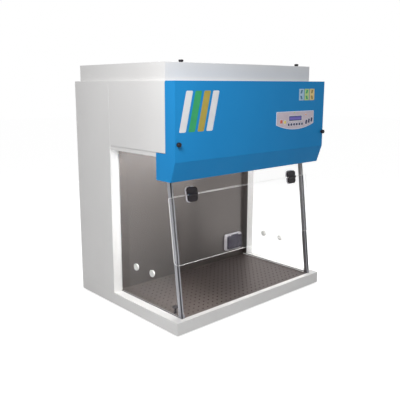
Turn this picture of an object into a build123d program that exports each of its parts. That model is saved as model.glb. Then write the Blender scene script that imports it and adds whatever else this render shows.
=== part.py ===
"""Bench-top recirculating fume hood, as an assembly of separate sub-parts.

Frame: millimetres, +Z up, the user stands at -Y, +X to the user's right.
The origin is the bottom centre of the bounding box, on the surface the feet stand on.
"""

from build123d import *
import math
import os

# ---------------------------------------------------------------- driving dimensions
# Casing
cabinet_width = 1000.0
cabinet_depth = 778.0
foot_height = 9.0
foot_radius = 14.0
foot_inset = 32.0
base_height = 58.0
rim_width = 51.0  # side strips of the base and of the rear column
front_rim = 26.0
rear_rim = 22.0
casing_sheet = 2.0
rim_collar_drop = 16.0
side_opening_height = 723.7  # base rim to the head's lower edge
head_height = 293.8
column_depth = 297.0
wall_recess = 26.0  # back wall behind the column's front face
liner_sheet = 1.5
wall_flange = 20.0
cover_flange = 22.0
seat_gap = 0.3  # between a moving piece and the fixed piece it clears
fit_gap = 0.5  # around a sheet part dropped into an opening
running_gap = 0.05  # radial, shaft in a hole
through_cut = 1.0  # how far a cutting shape passes the face that it cuts

# Worktop and sump
worktop_sink = 4.0  # worktop surface below the rim
worktop_sheet = 2.0
notch_rise = 60.0  # the corner notches clear the slanted posts up to this height
notch_gap = 1.5
worktop_pitch = 30.0
worktop_hole_radius = 4.0
worktop_edge_margin = 24.0
sump_ledge = 9.0
knob_inset_x = 76.0
knob_inset_y = 102.0
lift_knob_radius = 15.5
lift_knob_head = 9.0
lift_knob_stem_radius = 6.0
lift_knob_height = 33.0

# Slanted front and glasses
front_slant = 7.0  # degrees from vertical
glass_sheet = 5.0
side_glass_inset = 46.0  # side glass outer face from the cabinet's side
side_glass_rise = 15.0  # above the head's lower edge
seal_height = 3.0
seal_width = 4.5
post_width = 16.0
post_depth = 18.0
post_inset = 44.0
post_groove = 10.0
shoe_wall = 3.0
shoe_height = 16.0
access_height = 235.7  # rim to the flap's lower edge, along the slant
flap_height = 297.2
joint_gap = 3.0
flap_overhang = 25.0  # flap beyond the side glass's inner face
flap_corner_radius = 28.0

# Clamp hinges of the flap
hinge_inset = 130.0  # hinge centre from the flap's side
hinge_width = 56.0
hinge_leaf_height = 33.0
hinge_corner_radius = 17.0
hinge_leaf_rise = 8.5  # leaf thickness over the flap
hinge_axis_rise = 6.5  # pin axis over the flap's face
hinge_knuckle_radius = 6.0
hinge_knuckle_width = 24.0
hinge_pin_radius = 2.5
hinge_nub_radius = 4.5
hinge_nub_length = 5.5
hinge_plate_thickness = 4.0
hinge_plate_margin = 2.0
hinge_boss_radius = 3.0
hinge_boss_offset = 16.0  # from the hinge's middle
hinge_boss_height = 21.0
hinge_boss_gap = 0.2

# Port plugs in the side glasses
plug_height = 154.0  # above the rim
plug_setbacks = (232.0, 354.0)  # behind the base's front
plug_body_radius = 14.7
plug_flange_radius = 17.0
plug_flange = 4.0
plug_tail = 3.0

# Head, top box and exhaust
lip_height = 17.0  # ceiling seat above the head's lower edge
head_flange = 24.0
head_front_gap = 0.8
clamp_reach = 16.0  # of the angle that holds the upper glass
vent_side_margin = 200.0  # exhaust opening from the cabinet's side
vent_setback = 140.0  # behind the base's front
vent_rear_margin = 41.0  # before the column's front
top_box_height = 75.8
top_box_inset = 19.5
top_box_setback = 21.2  # behind the head's front edge
top_box_rear_inset = 22.0
box_sheet = 1.5
grille_margin = 18.0
grille_thickness = 2.0
grille_slot = 8.0
grille_slots = 22
exhaust_filter_height = 60.0
exhaust_filter_margin = 16.0
filter_frame = 14.0
mat_inset = 7.0
top_knob_radius = 10.5
top_knob_height = 11.0
top_knob_inset = 95.5  # from the top box's side
top_knob_setback = 11.2
knob_stud_radius = 2.5
knob_stud_length = 11.0

# Ceiling, lamp and main filter
ceiling_drop = 19.7  # below the head's lower edge
skirt_inset = 4.0  # folded skirt under the head's side, level with the ceiling
skirt_glass_gap = 4.0
lamp_channel_depth = 50.0
lamp_tube_radius = 8.0
lamp_cap_length = 22.0
lamp_cap_half = 12.0
lamp_front_gap = 1.5
ceiling_slots = 18
ceiling_slot_width = 10.0
ceiling_side_gap = 2.0
hanger_width = 25.0
filter_height = 70.0
filter_pleats = 34
media_thickness = 2.0
media_margin = 8.0

# Blower
blower_top_gap = 4.8  # under the deck
blower_filter_gap = 6.7  # over the main filter
scroll_width = 110.0
scroll_sheet = 2.0
scroll_outlet_width = 95.0
scroll_outlet_drop = 18.0
impeller_clearance = 21.0  # inside the scroll
inlet_lip = 16.0  # inside the impeller's rim
impeller_width = 82.0
impeller_ring = 14.0
impeller_blades = 24
impeller_blade_sheet = 2.0
hub_radius = 20.0
hub_length = 40.0
shaft_radius = 6.0
shaft_opening_radius = 40.0
shaft_end_gap = 18.0
motor_radius = 50.0
motor_length = 72.0
motor_end_wall = 18.0
motor_chamfer = 4.5

# Fascia
fascia_setback = 9.2  # behind the base's front
fascia_depth = 62.4
fascia_sheet = 1.5
fascia_wing_depth = 61.9
fascia_drop = 118.3  # below the head's lower edge
fascia_fold_rise = 85.0
fascia_fold_inset = 28.7
fascia_wing_gap = 1.7
fascia_foot_flange = 20.0
fascia_knuckle_radius = 3.0
fascia_pin_radius = 1.2
fascia_leaf_sheet = 1.5
fascia_leaf_width = 32.0
fascia_hinge_inset = 180.0  # hinge centre from the cabinet's side
fascia_hinge_length = 90.0
fascia_edge_gap = 0.4
return_gap = 0.6  # top return to the hinge barrel
fascia_knob_radius = 9.8
fascia_knob_reach = 18.0
fascia_knob_neck = 4.0
fascia_knob_neck_radius = 6.0
fascia_knob_inset = 13.5
fascia_knob_height = 40.3  # above the head's lower edge
catch_size = 18.0
catch_engagement = 4.0
catch_setback = 16.0  # catch face behind the fascia's front
catch_bore_radius = 3.6
catch_bore_depth = 12.0

# Control panel on the fascia
panel_side_inset = 85.0  # panel's right edge from the cabinet's side
panel_width = 290.0
panel_top = 150.8  # above the head's lower edge
panel_side_height = 62.5
panel_sag = 25.0
panel_sheet = 1.5
panel_corner = 5.0
display_width = 98.0
display_height = 22.0
display_drop = 34.0  # centres, below the panel's top edge
display_depth = 7.0
display_recess = 0.5
key_proud = 1.4
key_chamfer = 0.45
key_travel = 1.0
key_flange = 1.5
key_flange_margin = 1.2
round_key_radius = 6.3
round_key_count = 6
round_key_offset = 92.0  # first key, from the panel's left edge
round_key_end_gap = 33.7  # last round key to the first slanted one
round_key_drop = 63.2
yellow_key_radius = 8.2
yellow_key_offset = 63.5
yellow_key_drop = 50.4
red_key_size = 17.0
red_key_corner = 3.0
red_key_offset = 36.0
red_key_drop = 47.2
slant_key_width = 12.0
slant_key_height = 21.0
slant_key_corner = 2.0
slant_key_turn = -12.0  # degrees
slant_key_count = 3
slant_key_pitch = 21.6
slant_key_rise = 4.8  # of each key over the one before
slant_key_inset = 59.8  # first key, from the panel's right edge
slant_key_drop = 54.9
status_lamp_radius = 3.0
status_lamp_inset = 64.0  # from the panel's right edge
status_lamp_drop = 19.0
board_sheet = 1.6
board_margin = 14.0
switch_size = 6.0
standoff_radius = 3.0
standoff_inset = 21.0  # from the panel's side

# Socket on the back wall
socket_side_gap = 37.0  # socket box to the back wall's right edge
socket_height = 95.5  # centre above the rim
socket_width = 128.0
socket_tall = 97.0
socket_body_depth = 17.0
socket_corner = 12.0
socket_chamfer = 1.5
socket_recess_width = 96.0
socket_recess_tall = 64.0
socket_recess_depth = 11.0
socket_recess_corner = 6.0
socket_insert_size = 50.0
socket_insert_depth = 7.0
socket_insert_corner = 4.0
socket_well_radius = 19.0
socket_well_depth = 5.0
socket_pin_hole_radius = 2.4
socket_pin_spacing = 19.0
lid_width = 112.0
lid_tall = 78.0
lid_depth = 11.0
lid_wall = 2.5
lid_corner = 9.0
lid_knuckle_radius = 4.0
lid_knuckle_width = 60.0
lid_trunnion_radius = 2.0
lid_trunnion_length = 6.0
lid_ear_width = 8.0

# Mains inlet in the rear cover
inlet_side_inset = 120.0  # centre from the cabinet's right side
inlet_height = 235.0  # centre above the rim
inlet_width = 48.0
inlet_tall = 28.0
inlet_flange = 6.0
inlet_body_depth = 26.0
inlet_recess_width = 26.0
inlet_recess_tall = 18.0
inlet_recess_depth = 16.0
inlet_blade = (2.0, 4.0, 12.0)
inlet_blade_spacing = 7.0
inlet_blade_drop = 4.5

# ---------------------------------------------------------------- derived planes
half_width = cabinet_width / 2
front_overhang = max(fascia_knob_reach - fascia_setback, 0.0)
y_front = -(cabinet_depth + front_overhang) / 2 + front_overhang
y_back = y_front + cabinet_depth
y_cover = y_back - casing_sheet
y_fascia = y_front + fascia_setback
y_head = y_fascia + fascia_depth
y_column = y_back - column_depth
y_wall = y_column + wall_recess
y_wall_back = y_wall + liner_sheet
y_open_front = y_front + front_rim
y_open_back = y_back - rear_rim
x_open = half_width - rim_width

z_rim = foot_height + base_height
z_head = z_rim + side_opening_height
z_deck = z_head + head_height
z_box = z_deck + top_box_height
z_worktop = z_rim - worktop_sink
z_sump_top = z_worktop - worktop_sheet
z_lip = z_head + lip_height
z_ceiling = z_head - ceiling_drop

slant_sin = math.sin(math.radians(front_slant))
slant_cos = math.cos(math.radians(front_slant))
slant = Plane(origin=(0, y_open_front, z_rim), x_dir=(1, 0, 0), z_dir=(0, -slant_cos, slant_sin))
s_joint = access_height + flap_height + joint_gap / 2
s_window_top = (z_lip - z_rim - glass_sheet * slant_sin) / slant_cos - seat_gap
n_flap = seal_height + seat_gap
n_flap_face = n_flap + glass_sheet
n_hinge_axis = n_flap_face + hinge_axis_rise
n_leaf_face = n_flap_face + hinge_leaf_rise

x_glass_out = half_width - side_glass_inset
x_glass_in = x_glass_out - glass_sheet
x_post_out = half_width - post_inset
x_post_in = x_post_out - post_width
flap_half_width = x_glass_in + flap_overhang
x_hinge = flap_half_width - hinge_inset

fascia_axis_y = y_head
fascia_axis_z = z_deck - fascia_knuckle_radius
y_frame = fascia_axis_y + fascia_knuckle_radius + fascia_edge_gap + fascia_leaf_sheet
y_wing = y_head + fascia_wing_depth
y_return_end = fascia_axis_y - fascia_knuckle_radius - return_gap
y_fascia_back = y_fascia + fascia_sheet
y_panel = y_fascia - panel_sheet
z_fascia_low = z_head - fascia_drop
x_knob = half_width - fascia_knob_inset
z_knob = z_head + fascia_knob_height
x_panel = half_width - panel_side_inset - panel_width
z_panel = z_head + panel_top
x_panel_right = x_panel + panel_width
x_round_key = x_panel + round_key_offset
x_slant_key = x_panel_right - slant_key_inset
round_key_pitch = (x_slant_key - round_key_end_gap - x_round_key) / (round_key_count - 1)
x_display = x_round_key + round_key_pitch * (round_key_count - 1) / 2
z_display = z_panel - display_drop
y_catch = y_fascia + catch_setback

x_vent = half_width - vent_side_margin
y_vent_front = y_front + vent_setback
y_vent_back = y_column - vent_rear_margin
y_exhaust = (y_vent_front + y_vent_back) / 2
y_box_front = y_head + top_box_setback
y_box_back = y_back - top_box_rear_inset
x_box = half_width - top_box_inset

y_lamp_front = y_open_front + ((z_lip - z_rim) * slant_sin + post_depth) / slant_cos + lamp_front_gap
y_lamp_back = y_lamp_front + lamp_channel_depth
x_ceiling = x_glass_in - ceiling_side_gap
z_filter = z_ceiling + casing_sheet
z_blower_top = z_deck - casing_sheet - blower_top_gap
z_outlet = z_filter + filter_height + blower_filter_gap
scroll_radius = (z_blower_top - z_outlet - scroll_outlet_drop) / 2
z_blower = z_blower_top - scroll_radius
impeller_radius = scroll_radius - impeller_clearance
inlet_radius = impeller_radius - inlet_lip


# ---------------------------------------------------------------- small builders
def block(x0, x1, y0, y1, z0, z1):
    """Box between two corners."""
    centre = Pos((x0 + x1) / 2, (y0 + y1) / 2, (z0 + z1) / 2)
    return centre * Box(abs(x1 - x0), abs(y1 - y0), abs(z1 - z0))


def rod_x(x0, x1, y, z, radius):
    """Cylinder along X."""
    return Pos((x0 + x1) / 2, y, z) * Rot(0, 90, 0) * Cylinder(radius, x1 - x0)


def rod_y(x, y0, y1, z, radius):
    """Cylinder along Y."""
    return Pos(x, (y0 + y1) / 2, z) * Rot(90, 0, 0) * Cylinder(radius, y1 - y0)


def rod_z(x, y, z0, z1, radius):
    """Cylinder along Z."""
    return Pos(x, y, (z0 + z1) / 2) * Cylinder(radius, z1 - z0)


def prism_x(points, x0, x1):
    """Prism along X from an outline given as (y, z) points."""
    outline = Polyline(*[(x0, y, z) for y, z in points], close=True)
    return extrude(make_face(outline), amount=x1 - x0, dir=(1, 0, 0))


def plate_y(sketch, y0, y1):
    """Sketch in (x, z) turned into a plate between two Y planes."""
    face = Plane(origin=(0, y0, 0), x_dir=(1, 0, 0), z_dir=(0, -1, 0)) * sketch
    return extrude(face, amount=y1 - y0, dir=(0, 1, 0))


def rounded_plate_y(x, z, width, height, radius, y0, y1):
    """Rounded rectangular plate between two Y planes."""
    return plate_y(Pos(x, z) * RectangleRounded(width, height, radius), y0, y1)


def mirrored(solid):
    """The solid joined with its mirror image across the middle plane."""
    return solid + mirror(solid, about=Plane.YZ)


def y_on_slant(z, n=0.0):
    """Y of the slanted front plane, offset outward by n, at height z."""
    return y_open_front + (z - z_rim) * slant_sin / slant_cos - n / slant_cos


# ---------------------------------------------------------------- base
def base_parts():
    """Base tray, feet and sump tray."""
    outer = block(-half_width, half_width, y_front, y_back, foot_height, z_rim)
    room = block(
        -half_width + casing_sheet, half_width - casing_sheet,
        y_front + casing_sheet, y_back - casing_sheet,
        foot_height + casing_sheet, z_rim - casing_sheet,
    )
    opening = block(-x_open, x_open, y_open_front, y_open_back, z_rim - rim_collar_drop, z_rim)
    collar = block(
        -x_open - casing_sheet, x_open + casing_sheet,
        y_open_front - casing_sheet, y_open_back + casing_sheet,
        z_rim - rim_collar_drop, z_rim - casing_sheet / 2,
    )
    tray = outer - room + collar - opening

    feet = [
        rod_z(x, y, 0, foot_height, foot_radius)
        for x in (-half_width + foot_inset, half_width - foot_inset)
        for y in (y_front + foot_inset, y_back - foot_inset)
    ]

    z_floor = foot_height + casing_sheet
    x_sump = x_open - fit_gap
    y_sump = (y_open_front + fit_gap, y_open_back - fit_gap)
    sump = block(-x_sump, x_sump, *y_sump, z_floor, z_sump_top)
    sump -= block(
        -x_sump + liner_sheet, x_sump - liner_sheet,
        y_sump[0] + liner_sheet, y_sump[1] - liner_sheet,
        z_floor + liner_sheet, z_sump_top,
    )
    y_bar = y_wall + sump_ledge
    ledge = block(-x_sump, x_sump, y_sump[0], y_bar, z_sump_top - liner_sheet, z_sump_top)
    ledge -= block(
        -x_sump + sump_ledge, x_sump - sump_ledge,
        y_sump[0] + sump_ledge, y_bar - 2 * sump_ledge,
        z_sump_top - liner_sheet, z_sump_top,
    )
    return {"base_tray": tray, "feet": Compound(children=feet), "sump_tray": sump + ledge}


def worktop_parts():
    """Perforated worktop with notched front corners, and its lifting knob."""
    x_edge = x_open - 2 * fit_gap
    y_edge = (y_open_front + 2 * fit_gap, y_wall - fit_gap)
    plate = Rectangle(2 * x_edge, y_edge[1] - y_edge[0])
    notch_x = x_edge - x_post_in + shoe_wall + notch_gap
    notch_y = y_on_slant(z_rim + notch_rise, -post_depth) + shoe_wall + fit_gap - y_edge[0]
    centre_y = (y_edge[0] + y_edge[1]) / 2
    for side in (-1, 1):
        corner = Rectangle(2 * notch_x, 2 * notch_y)
        plate -= Pos(side * x_edge, y_edge[0] - centre_y) * corner
    columns = math.floor((2 * x_edge - worktop_edge_margin) / worktop_pitch)
    rows = math.floor((y_edge[1] - y_edge[0] - worktop_edge_margin) / worktop_pitch)
    plate -= GridLocations(worktop_pitch, worktop_pitch, columns, rows) * Circle(worktop_hole_radius)
    top = Pos(0, centre_y, z_sump_top) * extrude(plate, amount=worktop_sheet)

    x = -half_width + knob_inset_x
    y = y_front + knob_inset_y
    z_head_bottom = z_worktop + lift_knob_height - lift_knob_head
    knob = rod_z(x, y, z_worktop, z_head_bottom, lift_knob_stem_radius)
    knob += rod_z(x, y, z_head_bottom, z_worktop + lift_knob_height, lift_knob_radius)
    return {"worktop": top, "worktop_knob": knob}


# ---------------------------------------------------------------- rear column
def column_parts():
    """Rear casing, its cover, the stainless back wall and the mains inlet."""
    y_seat = y_wall_back + casing_sheet
    x_outer = -half_width
    x_inner = -x_open
    left = block(x_outer, x_outer + casing_sheet, y_column, y_cover, z_rim, z_deck)
    left += block(x_outer, x_inner, y_column, y_column + casing_sheet, z_rim, z_deck)
    left += block(x_inner - casing_sheet, x_inner, y_column, y_seat, z_rim, z_deck)
    left += block(x_inner - casing_sheet, x_inner + wall_flange, y_wall_back, y_seat, z_rim, z_deck)
    left += block(x_outer, x_outer + cover_flange, y_cover - casing_sheet, y_cover, z_rim, z_deck)
    casing = mirrored(left)
    casing += block(-half_width, half_width, y_column, y_cover, z_deck - casing_sheet, z_deck)
    casing += block(
        -half_width, half_width, y_cover - casing_sheet, y_cover,
        z_rim, z_rim + cover_flange,
    )

    x_inlet = half_width - inlet_side_inset
    z_inlet = z_rim + inlet_height
    cover = block(-half_width, half_width, y_cover, y_back, z_rim, z_deck)
    cover -= block(
        x_inlet - inlet_width / 2, x_inlet + inlet_width / 2, y_cover, y_back,
        z_inlet - inlet_tall / 2, z_inlet + inlet_tall / 2,
    )

    wall = block(-x_open, x_open, y_wall, y_wall_back, z_sump_top, z_deck - casing_sheet)
    wall -= rod_y(0, y_wall - through_cut, y_wall_back + through_cut, z_blower, inlet_radius)

    inlet = block(
        x_inlet - inlet_width / 2, x_inlet + inlet_width / 2,
        y_back - inlet_body_depth, y_back, z_inlet - inlet_tall / 2, z_inlet + inlet_tall / 2,
    )
    inlet += block(
        x_inlet - inlet_width / 2 - inlet_flange, x_inlet + inlet_width / 2 + inlet_flange,
        y_cover - casing_sheet, y_cover,
        z_inlet - inlet_tall / 2 - inlet_flange, z_inlet + inlet_tall / 2 + inlet_flange,
    )
    inlet -= block(
        x_inlet - inlet_recess_width / 2, x_inlet + inlet_recess_width / 2,
        y_back - inlet_recess_depth, y_back,
        z_inlet - inlet_recess_tall / 2, z_inlet + inlet_recess_tall / 2,
    )
    blade_width, blade_tall, blade_length = inlet_blade
    for step in (-1, 0, 1):
        x = x_inlet + step * inlet_blade_spacing
        z = z_inlet - inlet_blade_drop + (blade_tall / 2 if step == 0 else 0)
        inlet += block(
            x - blade_width / 2, x + blade_width / 2,
            y_back - inlet_recess_depth, y_back - inlet_recess_depth + blade_length,
            z - blade_tall / 2, z + blade_tall / 2,
        )
    return {"rear_casing": casing, "rear_cover": cover, "back_wall": wall, "power_inlet": inlet}


# ---------------------------------------------------------------- glasses and posts
def post_envelope():
    """Outer shape of the left slanted post, cut level at the rim and under the head."""
    long_post = slant * block(
        -x_post_out, -x_post_in, -post_depth, s_window_top + post_depth, -post_depth, 0,
    )
    return long_post & block(-half_width, 0, y_front, y_column, z_rim, z_head)


def side_glass_parts():
    """Side glasses with their port holes, seals, posts and post shoes."""
    z_foot = z_rim + seal_height
    z_top = z_head + side_glass_rise
    front = post_depth - post_groove
    outline = [
        (y_on_slant(z_foot, -front), z_foot),
        (y_column, z_foot),
        (y_column, z_top),
        (y_on_slant(z_top, -front), z_top),
    ]
    glass = prism_x(outline, -x_glass_out, -x_glass_in)
    for setback in plug_setbacks:
        y_port = y_front + setback
        glass -= rod_x(-half_width, 0, y_port, z_rim + plug_height, plug_body_radius + seat_gap)

    groove = slant * block(
        -x_glass_out, -x_glass_in, -post_depth, s_window_top + post_depth,
        -post_depth - through_cut, -front,
    )
    post = post_envelope() - groove

    foot_seal = block(
        -x_glass_out, -x_glass_in, y_on_slant(z_rim, -post_depth), y_column, z_rim, z_foot,
    )
    foot_seal -= post_envelope()
    front_seal = slant * block(
        -x_glass_in - seal_width, -x_glass_in, -seal_height, s_window_top, 0, seal_height,
    )
    front_seal &= block(-half_width, 0, y_front, y_column, z_rim, z_head)

    shoe = block(
        -x_post_out - shoe_wall, -x_post_in + shoe_wall,
        y_open_front - shoe_wall, y_on_slant(z_rim, -post_depth) + shoe_wall, z_rim, z_rim + shoe_height,
    )
    shoe -= block(-x_open, 0, y_open_front, y_wall, z_rim - through_cut, z_rim + seat_gap)
    shoe -= post_envelope()
    shoe -= groove
    shoe -= foot_seal
    shoe -= glass
    shoe -= slant * block(
        -x_glass_in - seal_width, -x_glass_in, -seal_height, s_window_top, 0, post_depth,
    )
    shoe = max(shoe.solids(), key=lambda solid: solid.volume)

    return {
        "side_glass_left": glass,
        "side_glass_right": mirror(glass, about=Plane.YZ),
        "corner_posts": Compound(children=[
            post, mirror(post, about=Plane.YZ), shoe, mirror(shoe, about=Plane.YZ),
        ]),
        "glass_seals": Compound(children=[
            foot_seal, mirror(foot_seal, about=Plane.YZ),
            front_seal, mirror(front_seal, about=Plane.YZ),
        ]),
    }


def port_plugs():
    """Four stoppers in the side glasses' ports: flange outside, body through the glass."""
    plugs = {}
    for side, name in ((-1, "left"), (1, "right")):
        for setback, place in zip(plug_setbacks, ("front", "rear")):
            y = y_front + setback
            z = z_rim + plug_height
            body = rod_x(-x_glass_out, -x_glass_in + plug_tail, y, z, plug_body_radius)
            flange = rod_x(-x_glass_out - plug_flange, -x_glass_out, y, z, plug_flange_radius)
            plug = body + chamfer(flange.edges().group_by(Axis.X)[0], plug_flange / 4)
            plugs[f"port_plug_{name}_{place}"] = plug if side < 0 else mirror(plug, about=Plane.YZ)
    return plugs


def hinge_boss_points(s_sign):
    """Places (x, s) of the clamp bosses of one leaf of each hinge."""
    s = s_joint + s_sign * hinge_boss_height
    return [
        (side * x_hinge + step * hinge_boss_offset, s)
        for side in (-1, 1)
        for step in (-1, 1)
    ]


def front_glass_parts():
    """Fixed upper glass and the lower flap glass."""
    upper = block(
        -x_glass_in, x_glass_in, s_joint + joint_gap / 2, s_window_top, 0, glass_sheet,
    )
    hole_radius = hinge_boss_radius + hinge_boss_gap
    for x, s in hinge_boss_points(1):
        upper -= rod_z(x, s, -through_cut, glass_sheet + through_cut, hole_radius)

    s_top = s_joint - joint_gap / 2
    flap = block(-flap_half_width, flap_half_width, access_height, s_top, n_flap, n_flap_face)
    corners = flap.edges().filter_by(Axis.Z).sort_by(Axis.Y)[0:2]
    flap = fillet(corners, flap_corner_radius)
    for x, s in hinge_boss_points(-1):
        flap -= rod_z(x, s, n_flap - through_cut, n_flap_face + through_cut, hole_radius)
    return {"upper_glass": slant * upper, "flap_glass": slant * flap}


def rounded_leaf(s_near, s_far, width, n0, n1, radius):
    """Hinge leaf about x = 0 with its two far corners rounded."""
    leaf = block(-width / 2, width / 2, s_near, s_far, n0, n1)
    order = leaf.edges().filter_by(Axis.Z).sort_by(Axis.Y)
    far = order[-2:] if s_far > s_near else order[0:2]
    return fillet(far, radius)


def flap_hinge_parts():
    """Clamp hinges on the joint of the front glasses: leaves, pins and inner plates."""
    free = hinge_knuckle_radius + 2 * seat_gap
    half = hinge_knuckle_width / 2
    end = hinge_width / 2

    def barrel(x0, x1, radius):
        return rod_x(x0, x1, s_joint, n_hinge_axis, radius)

    upper = rounded_leaf(
        s_joint + joint_gap / 2, s_joint + hinge_leaf_height, hinge_width,
        glass_sheet, n_leaf_face, hinge_corner_radius,
    )
    for side in (-1, 1):
        upper -= barrel(*sorted((side * half, side * (end + through_cut))), free)
    upper += barrel(-half, half, hinge_knuckle_radius)
    upper -= barrel(-half - through_cut, half + through_cut, hinge_pin_radius)

    lower = rounded_leaf(
        s_joint - joint_gap / 2, s_joint - hinge_leaf_height, hinge_width,
        n_flap_face, n_leaf_face, hinge_corner_radius,
    )
    lower -= barrel(-half - seat_gap, half + seat_gap, free)
    for side in (-1, 1):
        lower += barrel(*sorted((side * (half + seat_gap), side * end)), hinge_knuckle_radius)
    lower -= barrel(-end - through_cut, end + through_cut, hinge_pin_radius + running_gap)

    nub = end + seat_gap
    pin = barrel(-end, nub, hinge_pin_radius) + barrel(nub, nub + hinge_nub_length, hinge_nub_radius)

    def plate(s_sign, n_back):
        flat = rounded_leaf(
            s_joint + s_sign * joint_gap, s_joint + s_sign * (hinge_leaf_height + hinge_plate_margin),
            hinge_width + 2 * hinge_plate_margin,
            n_back - hinge_plate_thickness, n_back, hinge_corner_radius,
        )
        for step in (-1, 1):
            flat += rod_z(
                step * hinge_boss_offset, s_joint + s_sign * hinge_boss_height,
                n_back - hinge_plate_thickness / 2, n_back + glass_sheet, hinge_boss_radius,
            )
        return flat

    def pair(solid):
        return Compound(children=[slant * Pos(side * x_hinge, 0, 0) * solid for side in (-1, 1)])

    return {
        "hinge_upper_leaves": pair(upper),
        "hinge_lower_leaves": pair(lower),
        "hinge_pins": pair(pin),
        "hinge_upper_plates": pair(plate(1, 0.0)),
        "hinge_lower_plates": pair(plate(-1, n_flap)),
    }


# ---------------------------------------------------------------- head
def head_parts():
    """Head casing with its front frame, side skirts, window clamp, catches and deck opening."""
    y_side = y_head + head_front_gap
    y_lip = y_on_slant(z_head + side_glass_rise, -post_depth)
    y_frame_back = y_frame + casing_sheet
    x_outer = -half_width
    left = block(x_outer, x_outer + casing_sheet, y_side, y_column, z_head, z_deck)
    left += block(x_outer, -x_glass_out, y_side, y_column, z_head, z_head + casing_sheet)
    left += block(-x_glass_out - casing_sheet, -x_glass_out, y_lip, y_column, z_head, z_lip)
    left += block(x_outer, x_outer + head_flange, y_frame, y_frame_back, z_head, z_deck)
    x_skirt = x_outer + skirt_inset
    y_skirt = y_wing + fascia_edge_gap
    left += block(x_skirt, x_skirt + casing_sheet, y_skirt, y_column, z_ceiling, z_head)
    x_skirt_in = -x_glass_out - skirt_glass_gap
    left += block(x_skirt, x_skirt_in, y_skirt, y_column, z_ceiling, z_ceiling + casing_sheet)
    catch = block(
        -x_knob - catch_size / 2, -x_knob + catch_size / 2, y_catch, y_frame_back - casing_sheet / 2,
        z_knob - catch_size / 2, z_knob + catch_size / 2,
    )
    left += catch - rod_y(-x_knob, y_catch, y_catch + catch_bore_depth, z_knob, catch_bore_radius)
    casing = mirrored(left)
    casing += block(
        -half_width, half_width, y_frame, y_frame_back,
        z_deck - fascia_leaf_width - casing_sheet, z_deck,
    )
    casing += block(-half_width, half_width, y_frame, y_column, z_deck - casing_sheet, z_deck)
    casing -= block(
        -x_vent, x_vent, y_vent_front, y_vent_back, z_deck - 2 * casing_sheet, z_deck,
    )
    x_shelf = x_glass_in - casing_sheet
    y_shelf = y_on_slant(z_lip, glass_sheet)
    casing += block(-half_width, half_width, y_frame, y_shelf, z_lip, z_lip + casing_sheet)
    clamp = slant * block(
        -x_shelf, x_shelf, s_window_top - clamp_reach, s_window_top + 2 * casing_sheet,
        glass_sheet, glass_sheet + casing_sheet,
    )
    below_shelf = block(-x_shelf, x_shelf, y_front, y_column, z_head - head_flange, z_lip + casing_sheet)
    casing += clamp & below_shelf
    return {"head_casing": casing}


def top_box_parts():
    """Exhaust box, its grille, the exhaust filter and the two top knobs."""
    box = block(-x_box, x_box, y_box_front, y_box_back, z_deck, z_box)
    box -= block(
        -x_box + box_sheet, x_box - box_sheet, y_box_front + box_sheet, y_box_back - box_sheet,
        z_deck + box_sheet, z_box - box_sheet,
    )
    box -= block(
        -x_box + head_flange, x_box - head_flange, y_box_front + head_flange, y_box_back - head_flange,
        z_deck, z_deck + box_sheet,
    )
    box -= block(-x_vent, x_vent, y_vent_front, y_vent_back, z_box - box_sheet, z_box)
    y_knob = y_box_front + top_knob_setback
    knobs = {}
    for side, name in ((-1, "left"), (1, "right")):
        x = side * (x_box - top_knob_inset)
        box -= rod_z(x, y_knob, z_box - 2 * box_sheet, z_box, knob_stud_radius + seat_gap)
        knob = rod_z(x, y_knob, z_box, z_box + top_knob_height, top_knob_radius)
        knob = fillet(knob.edges().group_by(Axis.Z)[-1], top_knob_height / 4)
        knob += rod_z(x, y_knob, z_box - knob_stud_length, z_box, knob_stud_radius)
        knobs[f"top_knob_{name}"] = knob

    x_grille = x_vent + grille_margin
    y_grille = (y_vent_front - grille_margin, y_vent_back + grille_margin)
    grille = block(-x_grille, x_grille, *y_grille, z_box, z_box + grille_thickness)
    pitch = 2 * x_vent / grille_slots
    slot = Rectangle(grille_slot, y_vent_back - y_vent_front - grille_margin)
    slots = Sketch() + GridLocations(pitch, 1, grille_slots, 1) * slot
    grille -= Pos(0, y_exhaust, z_box) * extrude(slots, amount=grille_thickness)

    x_filter = x_vent + exhaust_filter_margin
    y_filter = (y_vent_front - exhaust_filter_margin, y_vent_back + exhaust_filter_margin)
    z_frame_top = z_deck + exhaust_filter_height
    frame = block(-x_filter, x_filter, *y_filter, z_deck, z_frame_top)
    core = block(
        -x_filter + filter_frame, x_filter - filter_frame,
        y_filter[0] + filter_frame, y_filter[1] - filter_frame, z_deck, z_frame_top,
    )
    mat = core & block(-x_filter, x_filter, *y_filter, z_deck + mat_inset, z_frame_top - mat_inset)
    return {
        "top_box": box,
        "exhaust_grille": grille,
        "exhaust_filter": Compound(children=[frame - core, mat]),
        **knobs,
    }


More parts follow.
